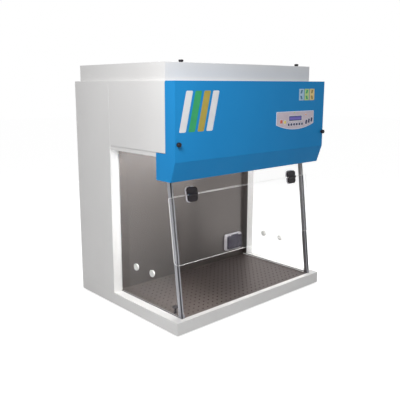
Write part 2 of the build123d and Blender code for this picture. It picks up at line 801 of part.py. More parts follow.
def ceiling_parts():
    """Ceiling tray with air slots, lamp channel and tube, and the main filter."""
    tray_front = y_lamp_back + ceiling_side_gap
    tray_back = y_wall - ceiling_side_gap
    z_hanger = z_lip + casing_sheet

    def tray_shell(x, y0, y1, z0, sheet):
        shell = block(-x, x, y0, y1, z0, z_hanger)
        return shell - block(-x + sheet, x - sheet, y0 + sheet, y1 - sheet, z0 + sheet, z_hanger)

    def hangers(y0, y1):
        hanger = block(-x_glass_out - hanger_width, -x_ceiling + casing_sheet, y0, y1, z_lip, z_hanger)
        return mirrored(hanger)

    tray = tray_shell(x_ceiling, tray_front, tray_back, z_ceiling, casing_sheet)
    tray += hangers(tray_front, y_column)
    slot_pitch = 2 * (x_ceiling - filter_frame - media_margin) / ceiling_slots
    slot_length = tray_back - tray_front - 2 * (filter_frame + media_margin)
    slot = Rectangle(ceiling_slot_width, slot_length)
    slots = Sketch() + GridLocations(slot_pitch, 1, ceiling_slots, 1) * slot
    tray -= Pos(0, (tray_front + tray_back) / 2, z_ceiling) * extrude(slots, amount=casing_sheet)

    channel = block(-x_ceiling, x_ceiling, y_lamp_front, y_lamp_back, z_ceiling, z_hanger)
    channel -= block(
        -x_ceiling + casing_sheet, x_ceiling - casing_sheet,
        y_lamp_front + casing_sheet, y_lamp_back - casing_sheet, z_ceiling, z_hanger - casing_sheet,
    )
    channel += hangers(y_lamp_front, y_lamp_back)
    y_tube = (y_lamp_front + y_lamp_back) / 2
    z_tube = (z_ceiling + z_hanger) / 2
    x_cap = x_ceiling - casing_sheet
    for side in (-1, 1):
        cap = block(
            *sorted((side * x_cap, side * (x_cap - lamp_cap_length))),
            y_tube - lamp_cap_half, y_tube + lamp_cap_half, z_tube - lamp_cap_half, z_hanger - casing_sheet,
        )
        channel += cap
    tube = rod_x(-x_cap + lamp_cap_length, x_cap - lamp_cap_length, y_tube, z_tube, lamp_tube_radius)

    x_filter = x_ceiling - casing_sheet - fit_gap
    y_filter = (tray_front + casing_sheet + fit_gap, tray_back - casing_sheet - fit_gap)
    frame = block(-x_filter, x_filter, *y_filter, z_filter, z_filter + filter_height)
    x_media = x_filter - filter_frame
    y_media = (y_filter[0] + filter_frame, y_filter[1] - filter_frame)
    frame -= block(-x_media, x_media, *y_media, z_filter, z_filter + filter_height)
    pleat = 2 * x_media / filter_pleats
    z_low = z_filter + media_margin
    z_high = z_filter + filter_height - media_margin
    crest = [
        (-x_media + step * pleat / 2, z_low if step % 2 == 0 else z_high)
        for step in range(2 * filter_pleats + 1)
    ]
    rise = media_thickness * (z_high - z_low) / (pleat / 2)
    outline = crest + [(x, z + rise) for x, z in reversed(crest)]
    zigzag = Polyline(*[(x, y_media[0], z - rise / 2) for x, z in outline], close=True)
    media = extrude(make_face(zigzag), amount=y_media[1] - y_media[0], dir=(0, 1, 0))
    media &= block(-x_media, x_media, *y_media, z_filter, z_filter + filter_height)
    return {
        "ceiling_tray": tray,
        "lamp_channel": channel,
        "lamp_tube": tube,
        "main_filter_frame": frame,
        "main_filter_media": media,
    }


def blower_parts():
    """Centrifugal blower: scroll housing on the back wall, motor and impeller."""
    y_rear = y_wall
    y_face = y_wall - scroll_width

    def scroll(grow, y0, y1, z_low):
        body = rod_y(0, y0, y1, z_blower, scroll_radius + grow)
        throat = block(
            -scroll_radius - grow, -scroll_radius + scroll_outlet_width + grow, y0, y1, z_low, z_blower,
        )
        return body + throat

    housing = scroll(0, y_face, y_rear, z_outlet)
    housing -= scroll(-scroll_sheet, y_face + scroll_sheet, y_rear - scroll_sheet, z_outlet)
    housing -= rod_y(0, y_rear - 2 * scroll_sheet, y_rear, z_blower, inlet_radius)
    housing -= rod_y(0, y_face, y_face + 2 * scroll_sheet, z_blower, shaft_opening_radius)

    y_motor = y_face - motor_length
    motor = rod_y(0, y_motor, y_face, z_blower, motor_radius)
    motor = chamfer(motor.edges().group_by(Axis.Y)[0], motor_chamfer)
    motor -= rod_y(0, y_motor + motor_end_wall, y_face, z_blower, shaft_radius + running_gap)

    y_plate = y_face + (scroll_width - impeller_width) / 2
    y_ring = y_plate + impeller_width
    wheel = rod_y(0, y_plate, y_plate + scroll_sheet, z_blower, impeller_radius)
    ring = rod_y(0, y_ring - impeller_ring, y_ring, z_blower, impeller_radius)
    ring -= rod_y(0, y_ring - impeller_ring, y_ring, z_blower, impeller_radius - impeller_ring)
    blade = Rectangle(impeller_ring - scroll_sheet, impeller_blade_sheet)
    blades = Sketch() + PolarLocations(impeller_radius - impeller_ring / 2, impeller_blades) * blade
    wheel += plate_y(Pos(0, z_blower) * blades, y_plate, y_ring - impeller_ring / 2)
    wheel += ring
    wheel += rod_y(0, y_plate, y_plate + hub_length, z_blower, hub_radius)
    wheel += rod_y(0, y_motor + motor_end_wall + shaft_end_gap, y_plate, z_blower, shaft_radius)
    return {"blower_housing": housing, "blower_motor": motor, "impeller": wheel}


# ---------------------------------------------------------------- fascia
def fascia_shell():
    """Folded front panel with side returns and wings, before its holes."""
    z_fold = z_fascia_low + fascia_fold_rise
    y_low = y_fascia + fascia_fold_inset
    y_side = y_head - fascia_edge_gap
    z_wing = z_head - fascia_wing_gap
    z_notch = fascia_axis_z - 2 * fascia_edge_gap - casing_sheet / 2
    outer = [
        (y_fascia, z_deck), (y_fascia, z_fold), (y_low, z_fascia_low), (y_wing, z_fascia_low),
        (y_wing, z_wing), (y_side, z_wing), (y_side, z_notch),
        (y_return_end, z_notch), (y_return_end, z_deck),
    ]
    fold_angle = math.atan2(fascia_fold_inset, fascia_fold_rise)
    bend = fascia_sheet * math.tan(fold_angle / 2)
    corner = fascia_sheet * math.tan((math.pi / 2 + fold_angle) / 2)
    y_flange = y_low + fascia_foot_flange
    y_beyond = y_wing + casing_sheet
    z_below = z_fascia_low - casing_sheet
    z_above = z_deck + casing_sheet
    y_top_end = y_return_end + fascia_edge_gap
    inner = [
        (y_fascia_back, z_deck - fascia_sheet), (y_fascia_back, z_fold + bend),
        (y_low + corner - 2 * bend, z_fascia_low + fascia_sheet), (y_flange, z_fascia_low + fascia_sheet),
        (y_flange, z_below), (y_beyond, z_below), (y_beyond, z_above), (y_top_end, z_above),
        (y_top_end, z_deck - fascia_sheet),
    ]
    x_in = half_width - fascia_sheet
    return prism_x(outer, -half_width, half_width) - prism_x(inner, -x_in, x_in)


def key_outlines():
    """Maker of each key's outline, grown by a margin, with its place (x, z), by name."""
    def red(grow):
        size = red_key_size + 2 * grow
        return RectangleRounded(size, size, red_key_corner + grow)

    def yellow(grow):
        return Circle(yellow_key_radius + grow)

    def dark_round(grow):
        return Circle(round_key_radius + grow)

    def slanted(grow):
        width = slant_key_width + 2 * grow
        height = slant_key_height + 2 * grow
        return Rot(0, 0, slant_key_turn) * RectangleRounded(width, height, slant_key_corner + grow)

    outlines = {
        "key_red": (red, x_panel + red_key_offset, z_panel - red_key_drop),
        "key_yellow": (yellow, x_panel + yellow_key_offset, z_panel - yellow_key_drop),
    }
    for index in range(round_key_count):
        x = x_round_key + index * round_key_pitch
        outlines[f"key_round_{index + 1}"] = (dark_round, x, z_panel - round_key_drop)
    for index in range(slant_key_count):
        x = x_slant_key + index * slant_key_pitch
        z = z_panel - slant_key_drop + index * slant_key_rise
        outlines[f"key_slant_{index + 1}"] = (slanted, x, z)
    return outlines


def panel_outline():
    """Face of the control plate in (x, z), with its bowed lower edge."""
    z_side = z_panel - panel_side_height
    x_middle = x_panel + panel_width / 2
    bottom = ThreePointArc((x_panel, z_side), (x_middle, z_side - panel_sag), (x_panel_right, z_side))
    corners = [(x_panel_right, z_side), (x_panel_right, z_panel), (x_panel, z_panel), (x_panel, z_side)]
    outline = make_face(Curve() + [bottom, Polyline(*corners)])
    return fillet(outline.vertices().group_by(Axis.Y)[-1], panel_corner)


def fascia_parts():
    """Fascia, its hinges and knobs, the control plate, display, keys and board."""
    shell = fascia_shell()
    plate = plate_y(panel_outline(), y_panel, y_fascia)
    x_lamp = x_panel_right - status_lamp_inset
    z_lamp = z_panel - status_lamp_drop
    window = Pos(x_display, z_display) * Rectangle(display_width + 2 * fit_gap, display_height + 2 * fit_gap)
    y_cut = (y_panel - through_cut, y_fascia_back + through_cut)
    cuts = plate_y(window, *y_cut) + rod_y(x_lamp, *y_cut, z_lamp, status_lamp_radius)

    y_switch = y_fascia_back + key_flange + key_travel + seat_gap
    y_board = y_panel + display_recess + display_depth
    board = rounded_plate_y(
        x_panel + panel_width / 2, z_display - board_margin, panel_width - 2 * board_margin,
        panel_side_height + panel_sag - board_margin, panel_corner, y_board, y_board + board_sheet,
    )
    keys = {}
    for name, (outline, x, z) in key_outlines().items():
        place = Pos(x, z)
        cuts += plate_y(place * outline(seat_gap), *y_cut)
        key = plate_y(place * outline(0), y_panel - key_proud, y_fascia_back)
        key = chamfer(key.edges().group_by(Axis.Y)[0], key_chamfer)
        flange = place * outline(key_flange_margin)
        keys[name] = key + plate_y(flange, y_fascia_back, y_fascia_back + key_flange)
        half = switch_size / 2
        board += block(x - half, x + half, y_switch, y_board, z - half, z + half)
    for x in (x_panel + standoff_inset, x_panel_right - standoff_inset):
        board += rod_y(x, y_fascia_back, y_board, z_display + switch_size, standoff_radius)
    board += rod_y(x_lamp, y_panel - key_proud / 2, y_board, z_lamp, status_lamp_radius)
    display = block(
        x_display - display_width / 2, x_display + display_width / 2,
        y_panel + display_recess, y_board, z_display - display_height / 2, z_display + display_height / 2,
    )
    shell -= cuts
    plate -= cuts

    knobs = {}
    for side, name in ((-1, "left"), (1, "right")):
        x = side * x_knob
        shell -= rod_y(x, y_fascia, y_fascia_back, z_knob, knob_stud_radius + seat_gap)
        y_neck = y_fascia - fascia_knob_neck
        grip = rod_y(x, y_fascia - fascia_knob_reach, y_neck, z_knob, fascia_knob_radius)
        grip = fillet(grip.edges().group_by(Axis.Y)[0], fascia_knob_neck / 2)
        grip += rod_y(x, y_neck, y_fascia, z_knob, fascia_knob_neck_radius)
        grip += rod_y(x, y_fascia, y_catch + catch_engagement, z_knob, knob_stud_radius)
        knobs[f"fascia_knob_{name}"] = grip

    return {
        "fascia": shell, "control_plate": plate, "display": display, "control_board": board,
        **knobs, **keys, **fascia_hinge_parts(),
    }


def fascia_hinge_parts():
    """Two butt hinges between the head's front frame and the fascia's top return."""
    third = fascia_hinge_length / 3
    half = fascia_hinge_length / 2
    inner = third / 2

    def knuckle(x0, x1, radius):
        return rod_x(x0, x1, fascia_axis_y, fascia_axis_z, radius)

    y_leaf = y_frame - fascia_leaf_sheet
    fixed = block(-half, half, y_leaf, y_frame, z_deck - fascia_leaf_width, fascia_axis_z)
    moving = block(
        -half, half, y_return_end - fascia_leaf_width, y_return_end,
        fascia_axis_z, fascia_axis_z + fascia_leaf_sheet,
    )
    for side in (-1, 1):
        x0, x1 = sorted((side * (inner + seat_gap), side * half))
        fixed += block(
            x0, x1, fascia_axis_y, y_frame,
            fascia_axis_z - fascia_knuckle_radius, fascia_axis_z - fascia_knuckle_radius / 3,
        )
        fixed += knuckle(x0, x1, fascia_knuckle_radius)
    fixed += knuckle(-half, half, fascia_pin_radius)
    z_leaf_top = fascia_axis_z + fascia_leaf_sheet
    y_leaf_end = y_return_end - fascia_leaf_sheet
    moving += block(-inner, inner, y_leaf_end, fascia_axis_y, fascia_axis_z, z_leaf_top)
    moving += knuckle(-inner, inner, fascia_knuckle_radius)
    moving -= knuckle(-inner, inner, fascia_pin_radius + running_gap)

    def pair(solid):
        x = half_width - fascia_hinge_inset
        return Compound(children=[Pos(side * x, 0, 0) * solid for side in (-1, 1)])

    return {"fascia_hinge_fixed": pair(fixed), "fascia_hinge_moving": pair(moving)}


# ---------------------------------------------------------------- socket
def socket_parts():
    """Splash-proof socket on the back wall: box, insert and hinged lid."""
    x = x_open - socket_side_gap - socket_width / 2
    z = z_rim + socket_height
    y_box = y_wall - socket_body_depth
    y_lid = y_box - lid_depth
    box = rounded_plate_y(x, z, socket_width, socket_tall, socket_corner, y_box, y_wall)
    box = chamfer(box.faces().sort_by(Axis.Y)[0].edges(), socket_chamfer)
    y_floor = y_box + socket_recess_depth
    y_face = y_floor - socket_insert_depth
    box -= rounded_plate_y(
        x, z, socket_recess_width, socket_recess_tall, socket_recess_corner, y_box, y_floor,
    )
    insert = rounded_plate_y(
        x, z, socket_insert_size, socket_insert_size, socket_insert_corner, y_face, y_floor,
    )
    insert -= rod_y(x, y_face, y_face + socket_well_depth, z, socket_well_radius)
    for side in (-1, 1):
        insert -= rod_y(x + side * socket_pin_spacing / 2, y_face, y_floor, z, socket_pin_hole_radius)

    z_lid_top = z + lid_tall / 2
    y_axis = y_box - lid_knuckle_radius - seat_gap
    z_axis = z_lid_top + lid_knuckle_radius / 2
    half = lid_knuckle_width / 2
    lid = rounded_plate_y(x, z, lid_width, lid_tall, lid_corner, y_lid, y_box)
    lid = chamfer(lid.faces().sort_by(Axis.Y)[0].edges(), lid_wall / 2)
    lid -= rounded_plate_y(
        x, z, lid_width - 2 * lid_wall, lid_tall - 2 * lid_wall, lid_corner - lid_wall,
        y_lid + lid_wall, y_box,
    )
    reach = half + lid_trunnion_length
    for side in (-1, 1):
        ear_x = sorted((x + side * (half + seat_gap), x + side * (half + seat_gap + lid_ear_width)))
        notch_x = (ear_x[0] - seat_gap, ear_x[1] + seat_gap)
        lid -= block(
            *notch_x, y_axis - lid_knuckle_radius - seat_gap, y_box,
            z_axis - lid_knuckle_radius - seat_gap, z_lid_top,
        )
        ear = block(*ear_x, y_axis, y_box, z_axis - lid_knuckle_radius, z_axis + lid_knuckle_radius)
        ear += rod_x(*ear_x, y_axis, z_axis, lid_knuckle_radius)
        box += ear - rod_x(x - 2 * half, x + 2 * half, y_axis, z_axis, lid_trunnion_radius + running_gap)
    lid += rod_x(x - half, x + half, y_axis, z_axis, lid_knuckle_radius)
    lid += rod_x(x - reach, x + reach, y_axis, z_axis, lid_trunnion_radius)
    return {"socket_box": box, "socket_insert": insert, "socket_lid": lid}


# ---------------------------------------------------------------- assembly
def assemble():
    """Every node of the hood, by name."""
    makers = (
        base_parts, worktop_parts, column_parts, side_glass_parts, port_plugs, front_glass_parts,
        flap_hinge_parts, head_parts, top_box_parts, ceiling_parts, blower_parts, fascia_parts, socket_parts,
    )
    nodes = {}
    for maker in makers:
        nodes.update(maker())
    return nodes


os.makedirs("parts", exist_ok=True)
for node_name, node_shape in assemble().items():
    export_step(node_shape, f"parts/{node_name}.step")
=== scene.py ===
"""Looks of the bench-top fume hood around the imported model: finishes, fittings and studio.

Sizes are in metres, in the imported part's frame: +Z up, the user at -Y, +X to the user's right.
"""

import logging
import math
from collections.abc import Callable, Sequence
from dataclasses import dataclass
from enum import Enum
from itertools import pairwise

import bpy
from mathutils import Matrix, Vector


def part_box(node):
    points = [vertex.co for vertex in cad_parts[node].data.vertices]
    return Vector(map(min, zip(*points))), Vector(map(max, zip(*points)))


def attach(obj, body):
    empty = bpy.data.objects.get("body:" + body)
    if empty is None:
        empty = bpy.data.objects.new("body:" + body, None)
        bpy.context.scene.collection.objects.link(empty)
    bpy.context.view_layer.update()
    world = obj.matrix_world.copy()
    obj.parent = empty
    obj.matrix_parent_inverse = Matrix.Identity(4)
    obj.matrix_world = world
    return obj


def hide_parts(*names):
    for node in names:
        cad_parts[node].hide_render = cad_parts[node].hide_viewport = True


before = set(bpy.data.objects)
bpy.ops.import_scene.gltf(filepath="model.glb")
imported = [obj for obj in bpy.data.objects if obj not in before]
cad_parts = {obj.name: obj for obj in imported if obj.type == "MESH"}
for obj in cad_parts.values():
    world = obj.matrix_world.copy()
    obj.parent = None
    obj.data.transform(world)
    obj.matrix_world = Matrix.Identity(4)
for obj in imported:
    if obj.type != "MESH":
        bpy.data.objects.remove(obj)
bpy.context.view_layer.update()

Colour = tuple[float, float, float]
Socket = bpy.types.NodeSocket
Piece = bpy.types.Object

MERGE_DISTANCE = 1e-6
SMOOTH_ANGLE = math.radians(40)
TURNED_ANGLE = math.radians(50)
FOLD_ANGLE = math.radians(35)
SMOOTH_MARGIN = math.radians(5)
FLAT_WEIGHT = 100
LONG_EDGE = 4  # an edge is long past this many of its roundings
FACES_ALONG = 0.9  # cosine to an axis from which a face counts as facing along it
TO_USER = Vector((0, -1, 0))
TO_REAR = Vector((0, 1, 0))
UPWARDS = Vector((0, 0, 1))
SIDEWAYS = Vector((1, 0, 0))
WHITE = (1.0, 1.0, 1.0, 1.0)

logger = logging.getLogger("fume_hood")


# ---------------------------------------------------------------- modelling
def activate(piece: Piece) -> None:
    """Make a piece the only selected object, and the active one.

    Args:
        piece: The piece to activate.
    """
    bpy.ops.object.select_all(action="DESELECT")
    piece.select_set(True)
    bpy.context.view_layer.objects.active = piece


def start_editing(piece: Piece, everything: bool = True) -> None:
    """Open a piece in edit mode.

    Args:
        piece: The piece to edit.
        everything: Whether all of its mesh starts selected, or none.
    """
    activate(piece)
    bpy.ops.object.mode_set(mode="EDIT")
    bpy.ops.mesh.select_all(action="SELECT" if everything else "DESELECT")


def stop_editing() -> None:
    """Return to object mode."""
    bpy.ops.object.mode_set(mode="OBJECT")


def select_faces(piece: Piece, wanted: Callable[[bpy.types.MeshPolygon], bool]) -> None:
    """Open a piece in edit mode with chosen faces selected.

    Args:
        piece: The piece to edit.
        wanted: Says whether a face is selected.
    """
    start_editing(piece, everything=False)
    bpy.ops.mesh.select_mode(type="FACE")
    stop_editing()
    for polygon in piece.data.polygons:
        polygon.select = wanted(polygon)
    bpy.ops.object.mode_set(mode="EDIT")


def select_corners(piece: Piece, wanted: Callable[[Vector], bool]) -> None:
    """Open a piece in edit mode with chosen vertices selected.

    Args:
        piece: The piece to edit.
        wanted: Says from its place whether a vertex is selected.
    """
    start_editing(piece, everything=False)
    bpy.ops.mesh.select_mode(type="VERT")
    stop_editing()
    for vertex in piece.data.vertices:
        vertex.select = wanted(vertex.co)
    bpy.ops.object.mode_set(mode="EDIT")


def place(piece: Piece, matrix: Matrix) -> Piece:
    """Move a piece by a matrix and put the move into its mesh.

    Args:
        piece: The piece to move.
        matrix: The move, from where the piece was made.

    Returns:
        The same piece.
    """
    activate(piece)
    piece.matrix_world = matrix @ piece.matrix_world
    bpy.ops.object.transform_apply(location=True, rotation=True, scale=True)
    return piece


def rounded(piece: Piece, radius: float) -> Piece:
    """Round the sharp edges of a piece.

    Args:
        piece: The piece to finish.
        radius: Width of the rounding.

    Returns:
        The same piece.
    """
    activate(piece)
    bevel = piece.modifiers.new("Rounding", "BEVEL")
    bevel.width = radius
    bevel.segments = 2
    bevel.limit_method = "ANGLE"
    bevel.angle_limit = FOLD_ANGLE
    bevel.use_clamp_overlap = False
    bpy.ops.object.modifier_apply(modifier=bevel.name)
    return piece


def smoothed(piece: Piece, angle: float = SMOOTH_ANGLE) -> Piece:
    """Shade a piece smooth except across its sharp edges, with its large faces kept flat.

    Args:
        piece: The piece to finish.
        angle: Edges sharper than this stay sharp.

    Returns:
        The same piece.
    """
    activate(piece)
    bpy.ops.object.shade_smooth_by_angle(angle=angle)
    weighting = piece.modifiers.new("Flat faces", "WEIGHTED_NORMAL")
    weighting.weight = FLAT_WEIGHT
    weighting.keep_sharp = True
    bpy.ops.object.modifier_apply(modifier=weighting.name)
    return piece


def faceted(piece: Piece) -> Piece:
    """Shade every face of a piece flat.

    Args:
        piece: The piece to finish.

    Returns:
        The same piece.
    """
    activate(piece)
    bpy.ops.object.shade_flat()
    return piece


def softened(piece: Piece, radius: float, segments: int, angle: float) -> Piece:
    """Round the long sharp edges of a piece, and leave small holes as they are.

    Args:
        piece: The piece to finish.
        radius: Width of the rounding.
        segments: Facets across each rounded edge.
        angle: Edges sharper than this are rounded.

    Returns:
        The same piece.
    """
    start_editing(piece, everything=False)
    bpy.ops.mesh.select_mode(type="EDGE")
    bpy.ops.mesh.edges_select_sharp(sharpness=angle)
    stop_editing()
    for edge in piece.data.edges:
        start, end = (piece.data.vertices[index].co for index in edge.vertices)
        edge.select = edge.select and (end - start).length > LONG_EDGE * radius
    bpy.ops.object.mode_set(mode="EDIT")
    bpy.ops.mesh.bevel(offset=radius, segments=segments, clamp_overlap=False)
    stop_editing()
    return piece


def slab(name: str, low: Vector, high: Vector) -> Piece:
    """Block between two corners, to be shaped further.

    Args:
        name: Name of the new piece.
        low: Its lowest corner.
        high: Its highest corner.

    Returns:
        The new piece, with its place in its mesh.
    """
    bpy.ops.object.select_all(action="DESELECT")
    bpy.ops.mesh.primitive_cube_add(size=1, location=(low + high) / 2)
    piece = bpy.context.object
    piece.name = name
    piece.scale = high - low
    bpy.ops.object.transform_apply(location=True, rotation=True, scale=True)
    return piece


def turned(name: str, profile: Sequence[tuple[float, float]], segments: int = 32) -> Piece:
    """Turned solid about +Z, drawn up from a disc through the stations of a profile.

    Args:
        name: Name of the new piece.
        profile: Radius and height of each station, from the bottom up.
        segments: Facets around.

    Returns:
        The new piece.
    """
    first_radius, first_height = profile[0]
    bpy.ops.object.select_all(action="DESELECT")
    bpy.ops.mesh.primitive_circle_add(vertices=segments, radius=first_radius, fill_type="NGON")
    piece = bpy.context.object
    piece.name = name
    start_editing(piece)
    bpy.ops.transform.translate(value=(0, 0, first_height))
    for (radius, height), (next_radius, next_height) in pairwise(profile):
        rise = (0, 0, next_height - height)
        bpy.ops.mesh.extrude_region_move(TRANSFORM_OT_translate={"value": rise})
        growth = next_radius / radius
        bpy.ops.transform.resize(value=(growth, growth, 1), center_override=(0, 0, next_height))
    bpy.ops.mesh.select_all(action="SELECT")
    bpy.ops.mesh.normals_make_consistent(inside=False)
    stop_editing()
    return piece


def dished(piece: Piece, rim: float, depth: float) -> Piece:
    """Sink the middle of a turned piece's top face.

    Args:
        piece: A piece made by turned.
        rim: Width left around the dish.
        depth: How deep the dish is.

    Returns:
        The same piece.
    """
    top = max(vertex.co.z for vertex in piece.data.vertices)
    select_faces(
        piece, lambda face: face.center.z > top - MERGE_DISTANCE and face.normal.z > FACES_ALONG
    )
    bpy.ops.mesh.inset(thickness=rim)
    bpy.ops.transform.translate(value=(0, 0, -depth))
    stop_editing()
    return piece


def copied(piece: Piece, name: str, matrix: Matrix) -> Piece:
    """Copy of a piece with its own mesh, moved by a matrix.

    Args:
        piece: The piece to copy.
        name: Name of the copy.
        matrix: The move.

    Returns:
        The copy.
    """
    twin = piece.copy()
    twin.data = piece.data.copy()
    twin.name = name
    bpy.context.scene.collection.objects.link(twin)
    twin.data.transform(matrix)
    if matrix.determinant() < 0:
        twin.data.flip_normals()
    return twin


def joined(name: str, pieces: Sequence[Piece]) -> Piece:
    """Join several pieces into one.

    Args:
        name: Name of the joined piece.
        pieces: The pieces, which become part of the first.

    Returns:
        The joined piece.
    """
    activate(pieces[0])
    for piece in pieces[1:]:
        piece.select_set(True)
    bpy.ops.object.join()
    whole = bpy.context.object
    whole.name = name
    return whole


def formed_copy(node: str, radius: float, segments: int = 2, angle: float = FOLD_ANGLE) -> Piece:
    """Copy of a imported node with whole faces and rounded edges, to be shown in its place.

    Args:
        node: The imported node.
        radius: Rounding of its edges.
        segments: Facets across each rounded edge.
        angle: Edges sharper than this are rounded.

    Returns:
        The new piece.
    """
    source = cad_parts[node]
    piece = source.copy()
    piece.data = source.data.copy()
    piece.name = f"{node}_formed"
    bpy.context.scene.collection.objects.link(piece)
    piece.parent = None
    for key in list(piece.keys()):
        del piece[key]
    start_editing(piece)
    bpy.ops.mesh.remove_doubles(threshold=MERGE_DISTANCE)
    stop_editing()
    bpy.ops.mesh.customdata_custom_splitnormals_clear()
    if radius:
        softened(piece, radius, segments, angle)
    return smoothed(piece, min(SMOOTH_ANGLE, angle + SMOOTH_MARGIN))


def facing(direction: Vector) -> Matrix:
    """Turn that points +Z along a direction."""
    return direction.to_track_quat("Z", "Y").to_matrix().to_4x4()


def moved(x: float, y: float, z: float) -> Matrix:
    """Move without a turn."""
    return Matrix.Translation((x, y, z))


def middle(node: str) -> Vector:
    """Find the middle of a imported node's box."""
    low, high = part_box(node)
    return (low + high) / 2


# ---------------------------------------------------------------- materials
class Graph:
    """Node tree of one material under construction."""

    def __init__(self, name: str) -> None:
        """Start a material with a Principled shader and Object coordinates.

        Args:
            name: Name of the material.
        """
        self.material = bpy.data.materials.new(name)
        self.material.use_nodes = True
        self.tree = self.material.node_tree
        self.shader = self.tree.nodes["Principled BSDF"]
        self.output = self.tree.nodes["Material Output"]
        self.coordinates = self.tree.nodes.new("ShaderNodeTexCoord").outputs["Object"]

    def link(self, source: Socket, target: Socket) -> None:
        """Join two sockets."""
        self.tree.links.new(source, target)

    def set(self, **values: float | Colour) -> None:
        """Set sockets of the shader.

        Args:
            **values: Value of each socket, named with underscores for spaces.
        """
        for name, value in values.items():
            socket = self.shader.inputs[name.replace("_", " ")]
            socket.default_value = (*value, 1.0) if isinstance(value, tuple) else value

    def stretched(self, scale: tuple[float, float, float]) -> Socket:
        """Object coordinates scaled along each axis.

        Args:
            scale: Factor along X, Y and Z.

        Returns:
            The scaled coordinates.
        """
        mapping = self.tree.nodes.new("ShaderNodeMapping")
        mapping.inputs["Scale"].default_value = scale
        self.link(self.coordinates, mapping.inputs["Vector"])
        return mapping.outputs["Vector"]

    def noise(self, scale: tuple[float, float, float], detail: float = 2.0) -> Socket:
        """Noise from 0 to 1, with a number of cells per metre along each axis.

        Args:
            scale: Cells per metre along X, Y and Z.
            detail: Octaves of finer noise.

        Returns:
            The noise's value.
        """
        texture = self.tree.nodes.new("ShaderNodeTexNoise")
        texture.inputs["Scale"].default_value = 1.0
        texture.inputs["Detail"].default_value = detail
        self.link(self.stretched(scale), texture.inputs["Vector"])
        return texture.outputs["Fac"]

    def ranged(
        self, value: Socket, low: float, high: float, start: float = 0.3, end: float = 0.7
    ) -> Socket:
        """Value between start and end spread over low to high.

        Args:
            value: The value to spread.
            low: Result at start and before.
            high: Result at end and after.
            start: Value that gives low.
            end: Value that gives high.

        Returns:
            The spread value.
        """
        spread = self.tree.nodes.new("ShaderNodeMapRange")
        spread.inputs["From Min"].default_value = start
        spread.inputs["From Max"].default_value = end
        spread.inputs["To Min"].default_value = low
        spread.inputs["To Max"].default_value = high
        self.link(value, spread.inputs["Value"])
        return spread.outputs["Result"]

    def blended(self, factor: Socket, first: Colour | Socket, second: Colour | Socket) -> Socket:
        """Mix of two colours.

        Args:
            factor: Share of the second colour.
            first: Colour at factor 0.
            second: Colour at factor 1.

        Returns:
            The mixed colour.
        """
        mix = self.tree.nodes.new("ShaderNodeMix")
        mix.data_type = "RGBA"
        self.link(factor, mix.inputs["Factor"])
        for name, colour in (("A", first), ("B", second)):
            socket = next(s for s in mix.inputs if s.name == name and s.type == "RGBA")
            if isinstance(colour, tuple):
                socket.default_value = (*colour, 1.0)
            else:
                self.link(colour, socket)
        return next(s for s in mix.outputs if s.type == "RGBA")

    def height(self, value: Socket, distance: float) -> None:
        """Drive the shader's bump with a height map.

        Args:
            value: Height from 0 to 1.
            distance: Real height of the relief.
        """
        bump = self.tree.nodes.new("ShaderNodeBump")
        bump.inputs["Distance"].default_value = distance
        bump.inputs["Strength"].default_value = 1.0
        self.link(value, bump.inputs["Height"])
        self.link(bump.outputs["Normal"], self.shader.inputs["Normal"])

    def split(self) -> tuple[Socket, Socket, Socket]:
        """Object coordinates as three values.

        Returns:
            X, Y and Z.
        """
        separate = self.tree.nodes.new("ShaderNodeSeparateXYZ")
        self.link(self.coordinates, separate.inputs["Vector"])
        return tuple(separate.outputs)

    def lamps_pass(self, tint: Colour) -> None:
        """Let lamps shine through the shader, as through clear glass.

        Args:
            tint: Colour that their light takes.
        """
        clear = self.tree.nodes.new("ShaderNodeBsdfTransparent")
        clear.inputs["Color"].default_value = (*tint, 1.0)
        path = self.tree.nodes.new("ShaderNodeLightPath")
        mix = self.tree.nodes.new("ShaderNodeMixShader")
        self.link(path.outputs["Is Shadow Ray"], mix.inputs["Fac"])
        self.link(self.shader.outputs["BSDF"], mix.inputs[1])
        self.link(clear.outputs["BSDF"], mix.inputs[2])
        self.link(mix.outputs["Shader"], self.output.inputs["Surface"])


@dataclass(frozen=True)
class Finish:
    """Surface finish of a material slot."""

    name: str
    slot: str

    def draw(self, graph: Graph) -> None:
        """Draw the finish's nodes."""
        raise NotImplementedError

    def material(self) -> bpy.types.Material:
        """Find the finish's material, or make it on its first use.

        Returns:
            The material.
        """
        known = bpy.data.materials.get(self.name)
        if known:
            return known
        graph = Graph(self.name)
        self.draw(graph)
        return graph.material


@dataclass(frozen=True)
class PowderCoat(Finish):
    """Powder-coated sheet metal with a fine peel and slight mottling."""

    colour: Colour
    shade: Colour
    roughness: float = 0.42
    gloss: float = 0.5
    peel: float = 0.00006

    def draw(self, graph: Graph) -> None:
        """Mottled colour, uneven roughness, fine peel.

        Args:
            graph: The material's node tree.
        """
        cloud = graph.noise((2.2, 2.2, 1.4), 3)
        speck = graph.noise((260, 260, 260), 2)
        coat = graph.blended(graph.ranged(cloud, 0.0, 1.0), self.colour, self.shade)
        coat = graph.blended(graph.ranged(speck, 0.0, 0.35, 0.55, 0.8), coat, self.shade)
        graph.link(coat, graph.shader.inputs["Base Color"])
        wear = graph.noise((9, 9, 9), 2)
        rough = graph.ranged(wear, self.roughness - 0.05, self.roughness + 0.05)
        graph.link(rough, graph.shader.inputs["Roughness"])
        graph.set(Specular_IOR_Level=self.gloss)
        graph.height(graph.noise((650, 650, 650), 1), self.peel)


class Grain(Enum):
    """Direction along a brushed surface, of its lines or of its highlights."""

    ALONG_X = (1.0, 0.0, 0.0)
    ALONG_Y = (0.0, 1.0, 0.0)
    ALONG_Z = (0.0, 0.0, 1.0)

    def cells(self, along: float, across: float) -> tuple[float, float, float]:
        """Noise cells per metre along each axis, for lines that run in this direction."""
        return tuple(along if step else across for step in self.value)


